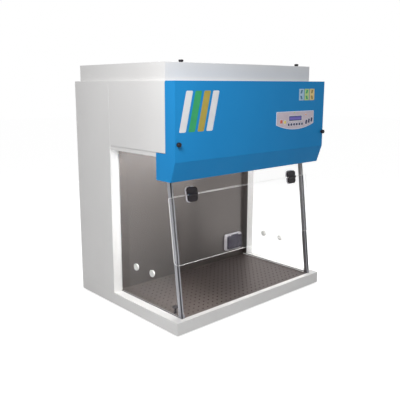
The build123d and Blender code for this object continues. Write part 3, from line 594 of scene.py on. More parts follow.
@dataclass(frozen=True)
class BrushedMetal(Finish):
    """Bare sheet metal with brush lines in one direction.

    A spread is the direction across the lines, in which highlights are drawn out.
    """

    colour: Colour
    shade: Colour
    grain: Grain = Grain.ALONG_X
    roughness: float = 0.3
    spread: Grain | None = None
    anisotropy: float = 0.95
    relief: float = 0.0000015

    def draw(self, graph: Graph) -> None:
        """Fine and coarse brush lines in colour, roughness and relief.

        Args:
            graph: The material's node tree.
        """
        fine = graph.noise(self.grain.cells(4, 1400), 2)
        coarse = graph.noise(self.grain.cells(0.8, 120), 3)
        cloud = graph.noise((2.5, 2.5, 2.5), 2)
        metal = graph.blended(graph.ranged(fine, 0.0, 0.45), self.colour, self.shade)
        metal = graph.blended(graph.ranged(cloud, 0.0, 0.35), metal, self.shade)
        graph.link(metal, graph.shader.inputs["Base Color"])
        rough = graph.ranged(coarse, self.roughness - 0.01, self.roughness + 0.015)
        graph.link(rough, graph.shader.inputs["Roughness"])
        graph.set(Metallic=1.0)
        if self.spread:
            graph.set(Anisotropic=self.anisotropy)
            tangent = graph.tree.nodes.new("ShaderNodeCombineXYZ")
            for socket, value in zip(tangent.inputs, self.spread.value):
                socket.default_value = value
            graph.link(tangent.outputs["Vector"], graph.shader.inputs["Tangent"])
        graph.height(fine, self.relief)


@dataclass(frozen=True)
class Moulding(Finish):
    """Moulded plastic or rubber with a fine texture."""

    colour: Colour
    shade: Colour
    roughness: float = 0.45
    gloss: float = 0.5
    relief: float = 0.00004
    cells: float = 900.0

    def draw(self, graph: Graph) -> None:
        """Mottled colour, uneven roughness, moulded texture.

        Args:
            graph: The material's node tree.
        """
        cloud = graph.noise((30, 30, 30), 3)
        skin = graph.blended(graph.ranged(cloud, 0.0, 1.0), self.colour, self.shade)
        graph.link(skin, graph.shader.inputs["Base Color"])
        wear = graph.noise((60, 60, 60), 2)
        rough = graph.ranged(wear, self.roughness - 0.06, self.roughness + 0.08)
        graph.link(rough, graph.shader.inputs["Roughness"])
        graph.set(Specular_IOR_Level=self.gloss)
        graph.height(graph.noise((self.cells, self.cells, self.cells), 1), self.relief)


@dataclass(frozen=True)
class ClearPane(Finish):
    """Clear sheet that lets lamps through."""

    tint: Colour
    lamp_tint: Colour
    roughness: float = 0.0
    index: float = 1.2

    def draw(self, graph: Graph) -> None:
        """Tinted glass with faint wiping marks in its tint.

        Args:
            graph: The material's node tree.
        """
        marks = graph.noise((5, 5, 14), 3)
        darker = tuple(0.985 * channel for channel in self.tint)
        tint = graph.blended(graph.ranged(marks, 0.0, 1.0), self.tint, darker)
        graph.link(tint, graph.shader.inputs["Base Color"])
        graph.set(Transmission_Weight=1.0, Roughness=self.roughness, IOR=self.index)
        graph.lamps_pass(self.lamp_tint)


@dataclass(frozen=True)
class GroundEdge(Finish):
    """Ground and polished edge of a glass sheet, with a faint painted glow for the light that it
    gathers.
    """

    colour: Colour
    shade: Colour

    def draw(self, graph: Graph) -> None:
        """Pale frosted edge with grinding lines, and a faint painted glow.

        Args:
            graph: The material's node tree.
        """
        lines = graph.noise((300, 300, 40), 2)
        frost = graph.blended(graph.ranged(lines, 0.0, 1.0), self.colour, self.shade)
        graph.link(frost, graph.shader.inputs["Base Color"])
        # The emission is a painted glow: the ground edge is no lamp.
        graph.set(Roughness=0.35, Emission_Strength=0.06, Emission_Color=self.colour)
        graph.height(lines, 0.00005)


@dataclass(frozen=True)
class Backlight(Finish):
    """Backlit display with two rows of unlit character cells."""

    colour: Colour
    cell: Colour
    rows: float
    columns: float

    def draw(self, graph: Graph) -> None:
        """Glowing field with darker cells.

        Args:
            graph: The material's node tree.
        """
        bricks = graph.tree.nodes.new("ShaderNodeTexBrick")
        bricks.offset = 0.0
        bricks.inputs["Scale"].default_value = 1.0
        bricks.inputs["Mortar Size"].default_value = 0.12
        bricks.inputs["Brick Width"].default_value = 1.0
        bricks.inputs["Row Height"].default_value = 1.0
        for name, colour in (("Color1", self.cell), ("Color2", self.cell), ("Mortar", self.colour)):
            bricks.inputs[name].default_value = (*colour, 1.0)
        x, _, z = graph.split()
        across = graph.tree.nodes.new("ShaderNodeCombineXYZ")
        for value, target, count in ((x, "X", self.columns), (z, "Y", self.rows)):
            graph.link(graph.ranged(value, 0.0, count, 0.0, 1.0), across.inputs[target])
        graph.link(across.outputs["Vector"], bricks.inputs["Vector"])
        graph.link(bricks.outputs["Color"], graph.shader.inputs["Base Color"])
        graph.link(bricks.outputs["Color"], graph.shader.inputs["Emission Color"])
        graph.set(Roughness=0.2, Emission_Strength=0.22)


@dataclass(frozen=True)
class OpalLamp(Finish):
    """Glowing opal tube, dimmer towards its ends."""

    colour: Colour
    ends: Colour
    half_length: float
    strength: float
    bright_part: float = 0.85

    def draw(self, graph: Graph) -> None:
        """Emission that is warmer at the ends.

        Args:
            graph: The material's node tree.
        """
        x, _, _ = graph.split()
        distance = graph.tree.nodes.new("ShaderNodeMath")
        distance.operation = "ABSOLUTE"
        graph.link(x, distance.inputs[0])
        bright = self.bright_part * self.half_length
        fade = graph.ranged(distance.outputs["Value"], 0.0, 1.0, bright, self.half_length)
        glow = graph.blended(fade, self.colour, self.ends)
        graph.link(glow, graph.shader.inputs["Base Color"])
        graph.link(glow, graph.shader.inputs["Emission Color"])
        graph.set(Roughness=0.3, Emission_Strength=self.strength)


@dataclass(frozen=True)
class FilterPaper(Finish):
    """Fibrous filter sheet."""

    colour: Colour
    shade: Colour

    def draw(self, graph: Graph) -> None:
        """Matted fibres with a soft sheen.

        Args:
            graph: The material's node tree.
        """
        fibres = graph.noise((420, 420, 60), 4)
        sheet = graph.blended(graph.ranged(fibres, 0.0, 1.0), self.colour, self.shade)
        graph.link(sheet, graph.shader.inputs["Base Color"])
        graph.set(Roughness=0.95, Sheen_Weight=0.25)
        graph.height(fibres, 0.0003)


@dataclass(frozen=True)
class CircuitBoard(Finish):
    """Lacquered circuit board with darker tracks."""

    colour: Colour
    track: Colour

    def draw(self, graph: Graph) -> None:
        """Cells of lacquer between tracks.

        Args:
            graph: The material's node tree.
        """
        cells = graph.tree.nodes.new("ShaderNodeTexVoronoi")
        cells.distance = "MANHATTAN"
        cells.feature = "F1"
        cells.inputs["Scale"].default_value = 90.0
        graph.link(graph.coordinates, cells.inputs["Vector"])
        share = graph.ranged(cells.outputs["Distance"], 0.0, 1.0)
        lacquer = graph.blended(share, self.track, self.colour)
        graph.link(lacquer, graph.shader.inputs["Base Color"])
        graph.set(Roughness=0.35)


class Finishes:
    """The hood's finishes, one attribute each."""

    white_paint = PowderCoat("white_coat", "white_paint", (0.80, 0.795, 0.79), (0.74, 0.73, 0.725))
    blue_paint = PowderCoat(
        "blue_coat", "blue_paint", (0.018, 0.272, 0.63), (0.015, 0.245, 0.585), 0.5, 0.12
    )
    # Wall and worktop steel drawn far darker than bare stainless: painted shade for the dark
    # surroundings that they reflect.
    wall_steel_painted_shade = BrushedMetal(
        "wall_steel_painted_shade", "stainless", (0.16, 0.144, 0.136), (0.115, 0.102, 0.096),
        Grain.ALONG_X, 0.31, Grain.ALONG_Z,
    )
    worktop_steel_painted_shade = BrushedMetal(
        "worktop_steel_painted_shade", "stainless", (0.19, 0.16, 0.152), (0.145, 0.122, 0.116),
        Grain.ALONG_X, 0.38, Grain.ALONG_Y,
    )
    # Sump drawn near black: painted shade under the perforated worktop, so that its holes read
    # dark.
    sump_steel_painted_shade = BrushedMetal(
        "sump_steel_painted_shade", "stainless", (0.05, 0.045, 0.04), (0.03, 0.03, 0.03), Grain.ALONG_X, 0.5
    )
    zinc_steel = BrushedMetal(
        "zinc_steel", "steel", (0.55, 0.55, 0.54), (0.40, 0.40, 0.39), Grain.ALONG_Z, 0.38
    )
    aluminium = BrushedMetal(
        "post_metal", "post_aluminium", (0.33, 0.33, 0.35), (0.24, 0.24, 0.26), Grain.ALONG_Z, 0.35
    )
    # Pins drawn in pale polished steel: partly steel pins, partly a painted highlight for the light
    # line along the hinge knuckles.
    pin_steel_painted_highlight = BrushedMetal(
        "pin_steel_painted_highlight", "steel", (0.78, 0.75, 0.76), (0.66, 0.63, 0.64), Grain.ALONG_X, 0.3
    )
    clear_glass = ClearPane("clear_pane", "clear_glass", (1.0, 1.0, 1.0), (0.99, 0.992, 0.99))
    glass_edge_painted_glow = GroundEdge("ground_edge_painted_glow", "clear_glass", (0.88, 0.87, 0.87), (0.74, 0.73, 0.73))
    smoked_plastic = Moulding(
        "smoked_lid", "smoke_plastic", (0.014, 0.010, 0.026), (0.022, 0.017, 0.038), 0.24, 0.28
    )
    black_plastic = Moulding(
        "black_moulding", "black_plastic", (0.009, 0.006, 0.009), (0.018, 0.013, 0.018), 0.38, 0.25
    )
    seal_rubber = Moulding(
        "seal_rubber", "seal_rubber", (0.045, 0.047, 0.052), (0.075, 0.077, 0.083), 0.7, 0.3
    )
    foot_rubber = Moulding(
        "foot_rubber", "foot_rubber", (0.030, 0.030, 0.032), (0.050, 0.049, 0.050), 0.8, 0.3
    )
    white_plastic = Moulding(
        "white_moulding", "white_plastic", (0.80, 0.80, 0.78), (0.72, 0.72, 0.70), 0.4
    )
    grey_plastic = Moulding(
        "grey_moulding", "grey_plastic", (0.60, 0.58, 0.62), (0.50, 0.48, 0.53), 0.4
    )
    panel_plastic = Moulding(
        "panel_film", "panel_plastic", (0.66, 0.57, 0.64), (0.59, 0.51, 0.58), 0.38
    )
    panel_rim = Moulding("panel_rim", "panel_plastic", (0.84, 0.89, 0.98), (0.76, 0.81, 0.92), 0.35)
    display_field = Backlight(
        "display_field", "display_glass", (0.06, 0.045, 0.30), (0.12, 0.10, 0.42), 90.0, 160.0
    )
    red_key = Moulding("red_key", "red_key", (0.42, 0.080, 0.075), (0.34, 0.065, 0.062), 0.35)
    yellow_key = Moulding("yellow_key", "yellow_key", (0.66, 0.49, 0.17), (0.56, 0.41, 0.14), 0.35)
    dark_key = Moulding("dark_key", "dark_key", (0.020, 0.018, 0.055), (0.035, 0.032, 0.080), 0.3)
    board = CircuitBoard("board_lacquer", "board", (0.03, 0.20, 0.09), (0.02, 0.11, 0.05))
    filter_paper = FilterPaper(
        "filter_paper", "filter_media", (0.82, 0.82, 0.79), (0.66, 0.66, 0.62)
    )
    carbon_mat = FilterPaper("carbon_mat", "filter_media", (0.10, 0.10, 0.10), (0.04, 0.04, 0.04))
    motor_iron = Moulding(
        "motor_iron", "motor_iron", (0.10, 0.10, 0.11), (0.05, 0.05, 0.055), 0.5, 0.4, 0.0002
    )
    ink_white = Moulding("ink_white", "blue_paint", (0.80, 0.80, 0.82), (0.74, 0.74, 0.77), 0.4)
    ink_green = Moulding("ink_green", "blue_paint", (0.020, 0.36, 0.12), (0.018, 0.31, 0.11), 0.4)
    ink_gold = Moulding("ink_gold", "blue_paint", (0.46, 0.36, 0.055), (0.40, 0.31, 0.05), 0.4)
    ink_sky = Moulding("ink_sky", "blue_paint", (0.46, 0.64, 0.80), (0.40, 0.58, 0.75), 0.4)
    ink_lime = Moulding("ink_lime", "blue_paint", (0.50, 0.66, 0.26), (0.44, 0.60, 0.22), 0.4)
    ink_amber = Moulding("ink_amber", "blue_paint", (0.80, 0.62, 0.25), (0.74, 0.56, 0.21), 0.4)
    ink_blue = Moulding("ink_blue", "blue_paint", (0.06, 0.20, 0.33), (0.05, 0.17, 0.29), 0.4)
    ink_bronze = Moulding("ink_bronze", "blue_paint", (0.34, 0.24, 0.06), (0.30, 0.21, 0.05), 0.4)
    lens_orange = Moulding("lens_orange", "red_key", (0.80, 0.30, 0.06), (0.70, 0.25, 0.05), 0.2)


# ---------------------------------------------------------------- assemblies
class Assembly:
    """Base of the sub-assemblies: gives pieces their finish and body, and reports them."""

    def dress(self, node: str, finish: Finish) -> None:
        """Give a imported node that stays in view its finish.

        Args:
            node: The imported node.
            finish: Its finish.
        """
        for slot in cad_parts[node].material_slots:
            slot.material = finish.material()
        logger.info("%s: packed node, %s", node, finish.name)

    def mount(self, piece: Piece, body: str, finish: Finish, replaces: Sequence[str] = ()) -> Piece:
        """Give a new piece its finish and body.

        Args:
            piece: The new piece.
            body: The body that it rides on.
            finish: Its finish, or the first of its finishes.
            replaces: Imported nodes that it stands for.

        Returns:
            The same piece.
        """
        if not piece.data.materials or finish.name not in piece.data.materials:
            piece.data.materials.clear()
            piece.data.materials.append(finish.material())
            for polygon in piece.data.polygons:
                polygon.material_index = 0
        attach(piece, body)
        if replaces:
            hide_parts(*replaces)
        logger.info("%s: new piece on %s, %s", piece.name, body, finish.name)
        return piece

    def form(
        self, node: str, body: str, finish: Finish, radius: float,
        segments: int = 2, angle: float = FOLD_ANGLE,
    ) -> Piece:
        """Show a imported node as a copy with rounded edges.

        Args:
            node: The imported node.
            body: The body that it rides on.
            finish: Its finish.
            radius: Rounding of its edges.
            segments: Facets across each rounded edge.
            angle: Edges sharper than this are rounded.

        Returns:
            The copy.
        """
        piece = formed_copy(node, radius, segments, angle)
        return self.mount(piece, body, finish, [node])


def two_tone(
    piece: Piece, finishes: Sequence[Finish], first: Callable[[bpy.types.MeshPolygon], bool]
) -> None:
    """Give a piece two finishes, by face.

    Args:
        piece: The piece.
        finishes: Its two finishes.
        first: Says whether a face takes the first finish.
    """
    piece.data.materials.clear()
    for finish in finishes:
        piece.data.materials.append(finish.material())
    for polygon in piece.data.polygons:
        polygon.material_index = 0 if first(polygon) else 1


@dataclass
class Screws(Assembly):
    """Pan-head screws with a round drive recess."""

    radius: float = 0.0038
    head: float = 0.0022
    segments: int = 16

    def __post_init__(self) -> None:
        """Turn the one screw that all others copy."""
        shape = [
            (self.radius, 0.0),
            (self.radius, 0.3 * self.head),
            (0.86 * self.radius, 0.75 * self.head),
            (0.62 * self.radius, self.head),
        ]
        self.pattern = turned("screw_pattern", shape, self.segments)
        dished(self.pattern, 0.18 * self.radius, 0.45 * self.head)
        smoothed(self.pattern)

    def drive(
        self, name: str, places: Sequence[Vector], direction: Vector, body: str, finish: Finish
    ) -> Piece:
        """Put a row of screws in one piece.

        Args:
            name: Name of the piece.
            places: Middle of each screw's seat.
            direction: The way that the heads face.
            body: The body that they ride on.
            finish: Their finish.

        Returns:
            The new piece.
        """
        turn = facing(direction)
        heads = [
            copied(self.pattern, f"{name}_{index}", moved(*spot) @ turn)
            for index, spot in enumerate(places)
        ]
        return self.mount(joined(name, heads), body, finish)

    def remove_pattern(self) -> None:
        """Take the pattern screw out of the scene."""
        bpy.data.objects.remove(self.pattern)


@dataclass
class HandKnob(Assembly):
    """Fluted black hand knob that stands on a face."""

    radius: float = 0.0098
    neck_radius: float = 0.0060
    neck: float = 0.0040
    reach: float = 0.0180
    flutes: int = 9
    flute_step: int = 4
    grip_share: float = 0.9
    flute_depth: float = 0.07

    def make(
        self, name: str, seat: Vector, direction: Vector, body: str, replaces: Sequence[str]
    ) -> Piece:
        """Turn the knob, cut its flutes and put it on its seat.

        Args:
            name: Name of the piece.
            seat: Middle of its foot.
            direction: The way that it points.
            body: The body that it rides on.
            replaces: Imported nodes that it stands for.

        Returns:
            The new piece.
        """
        shape = [
            (self.neck_radius, 0.0),
            (0.92 * self.neck_radius, 0.8 * self.neck),
            (0.80 * self.radius, self.neck),
            (0.97 * self.radius, self.neck + 0.10 * self.reach),
            (self.radius, self.neck + 0.22 * self.reach),
            (self.radius, 0.78 * self.reach),
            (0.93 * self.radius, 0.90 * self.reach),
            (0.74 * self.radius, 0.975 * self.reach),
            (0.50 * self.radius, self.reach),
        ]
        piece = turned(name, shape, self.flute_step * self.flutes)
        select_corners(piece, self.in_flute)
        shrink = 1 - self.flute_depth
        bpy.ops.transform.resize(value=(shrink, shrink, 1), center_override=(0, 0, 0))
        stop_editing()
        dished(piece, 0.12 * self.radius, 0.03 * self.reach)
        smoothed(piece, TURNED_ANGLE)
        place(piece, moved(*seat) @ facing(direction))
        return self.mount(piece, body, Finishes.black_plastic, replaces)

    def in_flute(self, spot: Vector) -> bool:
        """Whether a vertex lies in a flute.

        Args:
            spot: The vertex's place.

        Returns:
            True for a vertex on the grip, at a flute's angle.
        """
        outside = math.hypot(spot.x, spot.y) > self.grip_share * self.radius
        facets = self.flute_step * self.flutes
        facet = round(math.atan2(spot.y, spot.x) / (2 * math.pi) * facets)
        return outside and facet % self.flute_step == 0


@dataclass
class Casework(Assembly):
    """Painted casing: base, rear column, head, top box, with its feet and small fittings."""

    fold_radius: float = 0.0011
    inlet_radius: float = 0.0004
    lining_inset: float = 0.03
    lining_depth: float = 0.002
    foot_radius: float = 0.014
    cover_screw_inset: float = 0.011
    cover_screw_rows: int = 5

    def build(self) -> None:
        """Make every piece of the casing."""
        for node in ("base_tray", "rear_cover", "head_casing", "top_box"):
            self.form(node, "cabinet", Finishes.white_paint, self.fold_radius)
        self.make_column()
        self.form("exhaust_grille", "cabinet", Finishes.white_paint, 0.0)
        self.form("power_inlet", "cabinet", Finishes.black_plastic, self.inlet_radius)
        self.make_feet()

    def make_column(self) -> None:
        """Rear column, with bare steel on the sides of the wall's recess."""
        column = formed_copy("rear_casing", self.fold_radius)
        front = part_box("rear_casing")[0].y
        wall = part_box("back_wall")[0].y
        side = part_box("rear_casing")[1].x - self.lining_inset

        def painted(face: bpy.types.MeshPolygon) -> bool:
            """Whether a face isn't on a side of the recess.

            Args:
                face: A face of the column.

            Returns:
                True for a painted face.
            """
            across = abs(face.normal.x) > FACES_ALONG and abs(face.center.x) < side
            within = front - MERGE_DISTANCE < face.center.y < wall + self.lining_depth
            return not (across and within)

        # The recess sides take the darkened wall steel, with its painted shade.
        two_tone(column, (Finishes.white_paint, Finishes.wall_steel_painted_shade), painted)
        self.mount(column, "cabinet", Finishes.white_paint, ["rear_casing"])

    def make_feet(self) -> None:
        """Four ribbed rubber feet under the base."""
        low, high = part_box("feet")
        height = high.z - low.z
        shape = [
            (0.80 * self.foot_radius, 0.0),
            (0.90 * self.foot_radius, 0.10 * height),
            (self.foot_radius, 0.30 * height),
            (self.foot_radius, 0.45 * height),
            (0.93 * self.foot_radius, 0.55 * height),
            (self.foot_radius, 0.66 * height),
            (self.foot_radius, height),
        ]
        pattern = turned("foot_pattern", shape)
        smoothed(pattern, TURNED_ANGLE)
        inset = self.foot_radius
        feet = [
            copied(pattern, f"foot_{side}_{end}", moved(x, y, low.z))
            for side, x in (("left", low.x + inset), ("right", high.x - inset))
            for end, y in (("front", low.y + inset), ("rear", high.y - inset))
        ]
        bpy.data.objects.remove(pattern)
        self.mount(joined("rubber_feet", feet), "cabinet", Finishes.foot_rubber, ["feet"])

    def fasten(self, screws: Screws) -> None:
        """Screw the rear cover on.

        Args:
            screws: Maker of the screws.
        """
        low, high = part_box("rear_cover")
        inset = self.cover_screw_inset
        pitch = (high.z - low.z - 2 * inset) / (self.cover_screw_rows - 1)
        rows = [low.z + inset + step * pitch for step in range(self.cover_screw_rows)]
        spots = [Vector((x, high.y, z)) for x in (low.x + inset, high.x - inset) for z in rows]
        screws.drive("rear_cover_screws", spots, TO_REAR, "cabinet", Finishes.zinc_steel)


@dataclass
class Chamber(Assembly):
    """Inside of the hood: worktop, sump, back wall, ceiling, lamp and lifting knob."""

    sheet_radius: float = 0.0006
    lamp_strength: float = 26.0

    def build(self) -> None:
        """Make every piece of the chamber."""
        self.dress("worktop", Finishes.worktop_steel_painted_shade)
        self.dress("back_wall", Finishes.wall_steel_painted_shade)
        self.dress("sump_tray", Finishes.sump_steel_painted_shade)
        self.form("ceiling_tray", "cabinet", Finishes.white_paint, self.sheet_radius)
        self.form("lamp_channel", "cabinet", Finishes.white_paint, self.sheet_radius)
        self.make_lamp()
        self.make_lifting_knob()

    def make_lamp(self) -> None:
        """Lamp tube with drawn-in ends."""
        low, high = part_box("lamp_tube")
        radius = (high.z - low.z) / 2
        length = high.x - low.x
        shape = [
            (0.80 * radius, 0.0),
            (0.90 * radius, 0.3 * radius),
            (radius, 1.2 * radius),
            (radius, length - 1.2 * radius),
            (0.90 * radius, length - 0.3 * radius),
            (0.80 * radius, length),
        ]
        tube = smoothed(turned("lamp_tube_opal", shape))
        centre = middle("lamp_tube")
        place(tube, moved(low.x, centre.y, centre.z) @ facing(SIDEWAYS))
        glow = OpalLamp(
            "opal_glow", "lamp_glass", (1.0, 0.98, 0.92), (0.9, 0.8, 0.65),
            length / 2, self.lamp_strength,
        )
        self.mount(tube, "cabinet", glow, ["lamp_tube"])

    def make_lifting_knob(self) -> None:
        """Mushroom knob that lifts the worktop."""
        low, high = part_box("worktop_knob")
        head = (high.x - low.x) / 2
        height = high.z - low.z
        shape = [
            (0.52 * head, 0.0),
            (0.52 * head, 0.05 * height),
            (0.38 * head, 0.12 * height),
            (0.34 * head, 0.62 * height),
            (0.50 * head, 0.72 * height),
            (0.93 * head, 0.79 * height),
            (head, 0.86 * height),
            (0.94 * head, 0.95 * height),
            (0.70 * head, height),
        ]
        knob = turned("lifting_knob", shape)
        dished(knob, 0.15 * head, 0.03 * height)
        smoothed(knob, TURNED_ANGLE)
        centre = middle("worktop_knob")
        place(knob, moved(centre.x, centre.y, low.z))
        self.mount(knob, "worktop_panel", Finishes.black_plastic, ["worktop_knob"])


@dataclass
class MainsSocket(Assembly):
    """Splash-proof mains socket on the back wall."""

    box_radius: float = 0.0008
    insert_radius: float = 0.0005
    lid_radius: float = 0.0006
    contact_width: float = 0.006
    contact_height: float = 0.003
    contact_inset: float = 0.007
    contact_front: float = 0.0005
    contact_back: float = 0.005
    contact_radius: float = 0.0004

    def build(self) -> None:
        """Make the box, the insert with its earth contacts, and the lid."""
        self.form("socket_box", "cabinet", Finishes.grey_plastic, self.box_radius)
        self.form("socket_insert", "cabinet", Finishes.white_plastic, self.insert_radius)
        self.form("socket_lid", "lid", Finishes.smoked_plastic, self.lid_radius)
        low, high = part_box("socket_insert")
        left = (low.x + high.x - self.contact_width) / 2
        inset = self.contact_inset + self.contact_height / 2
        contacts = []
        for side, z in (("upper", high.z - inset), ("lower", low.z + inset - self.contact_height)):
            contact = slab(
                f"earth_contact_{side}",
                Vector((left, low.y + self.contact_front, z)),
                Vector((
                    left + self.contact_width, low.y + self.contact_back, z + self.contact_height
                )),
            )
            contacts.append(rounded(contact, self.contact_radius))
        self.mount(joined("earth_contacts", contacts), "cabinet", Finishes.zinc_steel)


@dataclass
class Glazing(Assembly):
    """Side panes, front panes, their seals, posts and port plugs."""

    arris: float = 0.0005
    post_radius: float = 0.0007
    slant: float = math.radians(7.0)
    pane_cosine: float = 0.98
    plug_rim: float = 0.0030
    plug_dish: float = 0.0010

    def build(self) -> None:
        """Make every piece of the glazing."""
        slanted = Vector((0, -math.cos(self.slant), math.sin(self.slant)))
        for node, body, normal in (
            ("side_glass_left", "cabinet", SIDEWAYS),
            ("side_glass_right", "cabinet", SIDEWAYS),
            ("upper_glass", "cabinet", slanted),
            ("flap_glass", "flap", slanted),
        ):
            self.make_pane(node, body, normal)
        self.form("corner_posts", "cabinet", Finishes.aluminium, self.post_radius)
        self.dress("glass_seals", Finishes.seal_rubber)
        for side, outward in (("left", -1), ("right", 1)):
            for end in ("front", "rear"):
                self.make_plug(f"port_plug_{side}_{end}", outward)

    def make_pane(self, node: str, body: str, normal: Vector) -> None:
        """Pane with ground edges.

        Args:
            node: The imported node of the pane.
            body: The body that it rides on.
            normal: Normal of its faces.
        """
        pane = faceted(formed_copy(node, self.arris, 1))
        two_tone(
            pane, (Finishes.clear_glass, Finishes.glass_edge_painted_glow),
            lambda face: abs(face.normal.dot(normal)) > self.pane_cosine,
        )
        self.mount(pane, body, Finishes.clear_glass, [node])

    def make_plug(self, node: str, outward: int) -> None:
        """Dished stopper of a port.

        Args:
            node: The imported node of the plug.
            outward: -1 on the left side, 1 on the right.
        """
        low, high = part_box(node)
        flange = (high.z - low.z) / 2
        length = high.x - low.x
        shape = [
            (0.74 * flange, 0.0),
            (0.83 * flange, 0.10 * length),
            (0.86 * flange, 0.25 * length),
            (0.86 * flange, 0.665 * length),
            (flange, 0.667 * length),
            (flange, 0.88 * length),
            (0.93 * flange, length),
        ]
        plug = turned(f"{node}_turned", shape, 40)
        dished(plug, self.plug_rim, self.plug_dish)
        smoothed(plug)
        centre = (low + high) / 2
        inner = low.x if outward > 0 else high.x
        place(plug, moved(inner, centre.y, centre.z) @ facing(outward * SIDEWAYS))
        self.mount(plug, f"{node}_body", Finishes.white_plastic, [node])


@dataclass
class FlapHinges(Assembly):
    """Clamp hinges that carry the flap on the fixed front pane."""

    edge_radius: float = 0.0012
    plate_radius: float = 0.0008
    pin_end_radius: float = 0.0004

    def build(self) -> None:
        """Make the leaves, plates and pins."""
        self.form("hinge_upper_leaves", "cabinet", Finishes.black_plastic, self.edge_radius)
        self.form("hinge_lower_leaves", "flap", Finishes.black_plastic, self.edge_radius)
        self.form("hinge_pins", "cabinet", Finishes.pin_steel_painted_highlight, self.pin_end_radius)
        self.form("hinge_upper_plates", "cabinet", Finishes.grey_plastic, self.plate_radius)
        self.form("hinge_lower_plates", "flap", Finishes.grey_plastic, self.plate_radius)


@dataclass
class Decoration(Assembly):
    """Prints on the fascia: a slanted band motif and three plain cells."""

    ink: float = 0.00015
    band_corner: float = 0.006
    cell_corner: float = 0.002
    mark_corner: float = 0.001
    corner_segments: int = 4
    band_pitch: float = 0.050
    band_width: float = 0.036
    band_lean: float = 0.040
    band_left: float = 0.022
    band_low: float = 0.205
    band_high: float = 0.372
    cell_size: float = 0.038
    cell_height: float = 0.056
    cell_pitch: float = 0.0425
    cell_first: float = 0.312
    cell_drop: float = 0.064
    mark_rows: int = 2
    mark_width: float = 0.014
    mark_height: float = 0.017
    mark_lean: float = 0.006

    def patch(
        self, name: str, x: float, z: float, width: float, height: float, lean: float, corner: float
    ) -> Piece:
        """Thin printed patch on the fascia's front.

        Args:
            name: Name of the piece.
            x: Left end of its lower edge.
            z: Height of its lower edge.
            width: Its width.
            height: Its height.
            lean: How far its upper edge is set to the right.
            corner: Rounding of its corners.

        Returns:
            The patch, not yet mounted.
        """
        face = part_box("fascia")[0].y
        piece = slab(name, Vector((x, face - self.ink, z)), Vector((x + width, face, z + height)))
        select_corners(piece, lambda spot: spot.z > z + height / 2)
        bpy.ops.transform.translate(value=(lean, 0, 0))
        stop_editing()
        start_editing(piece, everything=False)
        bpy.ops.mesh.select_mode(type="EDGE")
        stop_editing()
        for edge in piece.data.edges:
            start, end = (piece.data.vertices[index].co for index in edge.vertices)
            edge.select = abs((end - start).y) > self.ink / 2
        bpy.ops.object.mode_set(mode="EDIT")
        bpy.ops.mesh.bevel(offset=corner, segments=self.corner_segments)
        stop_editing()
        return piece

    def build(self) -> None:
        """Print the bands and the cells."""
        low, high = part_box("fascia")
        inks = (Finishes.ink_white, Finishes.ink_green, Finishes.ink_gold, Finishes.ink_white)
        for index, finish in enumerate(inks):
            x = low.x + self.band_left + index * self.band_pitch
            band = self.patch(
                f"band_{index + 1}", x, low.z + self.band_low,
                self.band_width, self.band_high - self.band_low, self.band_lean, self.band_corner,
            )
            self.mount(band, "fascia_door", finish)
        cells = (
            (Finishes.ink_sky, Finishes.ink_blue), (Finishes.ink_lime, Finishes.ink_green),
            (Finishes.ink_amber, Finishes.ink_bronze),
        )
        for index, (finish, mark_finish) in enumerate(cells):
            x = self.cell_first + index * self.cell_pitch - self.cell_size / 2
            z = high.z - self.cell_drop - self.cell_height / 2
            cell = self.patch(
                f"cell_{index + 1}", x, z, self.cell_size, self.cell_height, 0.0, self.cell_corner
            )
            self.mount(cell, "fascia_door", finish)
            marks = [
                self.mark(f"mark_{index + 1}_{row}", x, z, row) for row in range(self.mark_rows)
            ]
            self.mount(joined(f"cell_marks_{index + 1}", marks), "fascia_door", mark_finish)

    def mark(self, name: str, x: float, z: float, row: int) -> Piece:
        """Plain leaning bar on a cell.

        Args:
            name: Name of the piece.
            x: Left edge of the cell.
            z: Lower edge of the cell.
            row: Which of the cell's bars, from below.

        Returns:
            The bar, not yet mounted.
        """
        lean = self.mark_lean if row % 2 else -self.mark_lean
        start = x + (self.cell_size - self.mark_width - lean) / 2
        height = z + (row + 0.5) * self.cell_height / self.mark_rows - self.mark_height / 2
        bar = self.patch(
            name, start, height, self.mark_width, self.mark_height, lean, self.mark_corner
        )
        return place(bar, moved(0, -self.ink, 0))


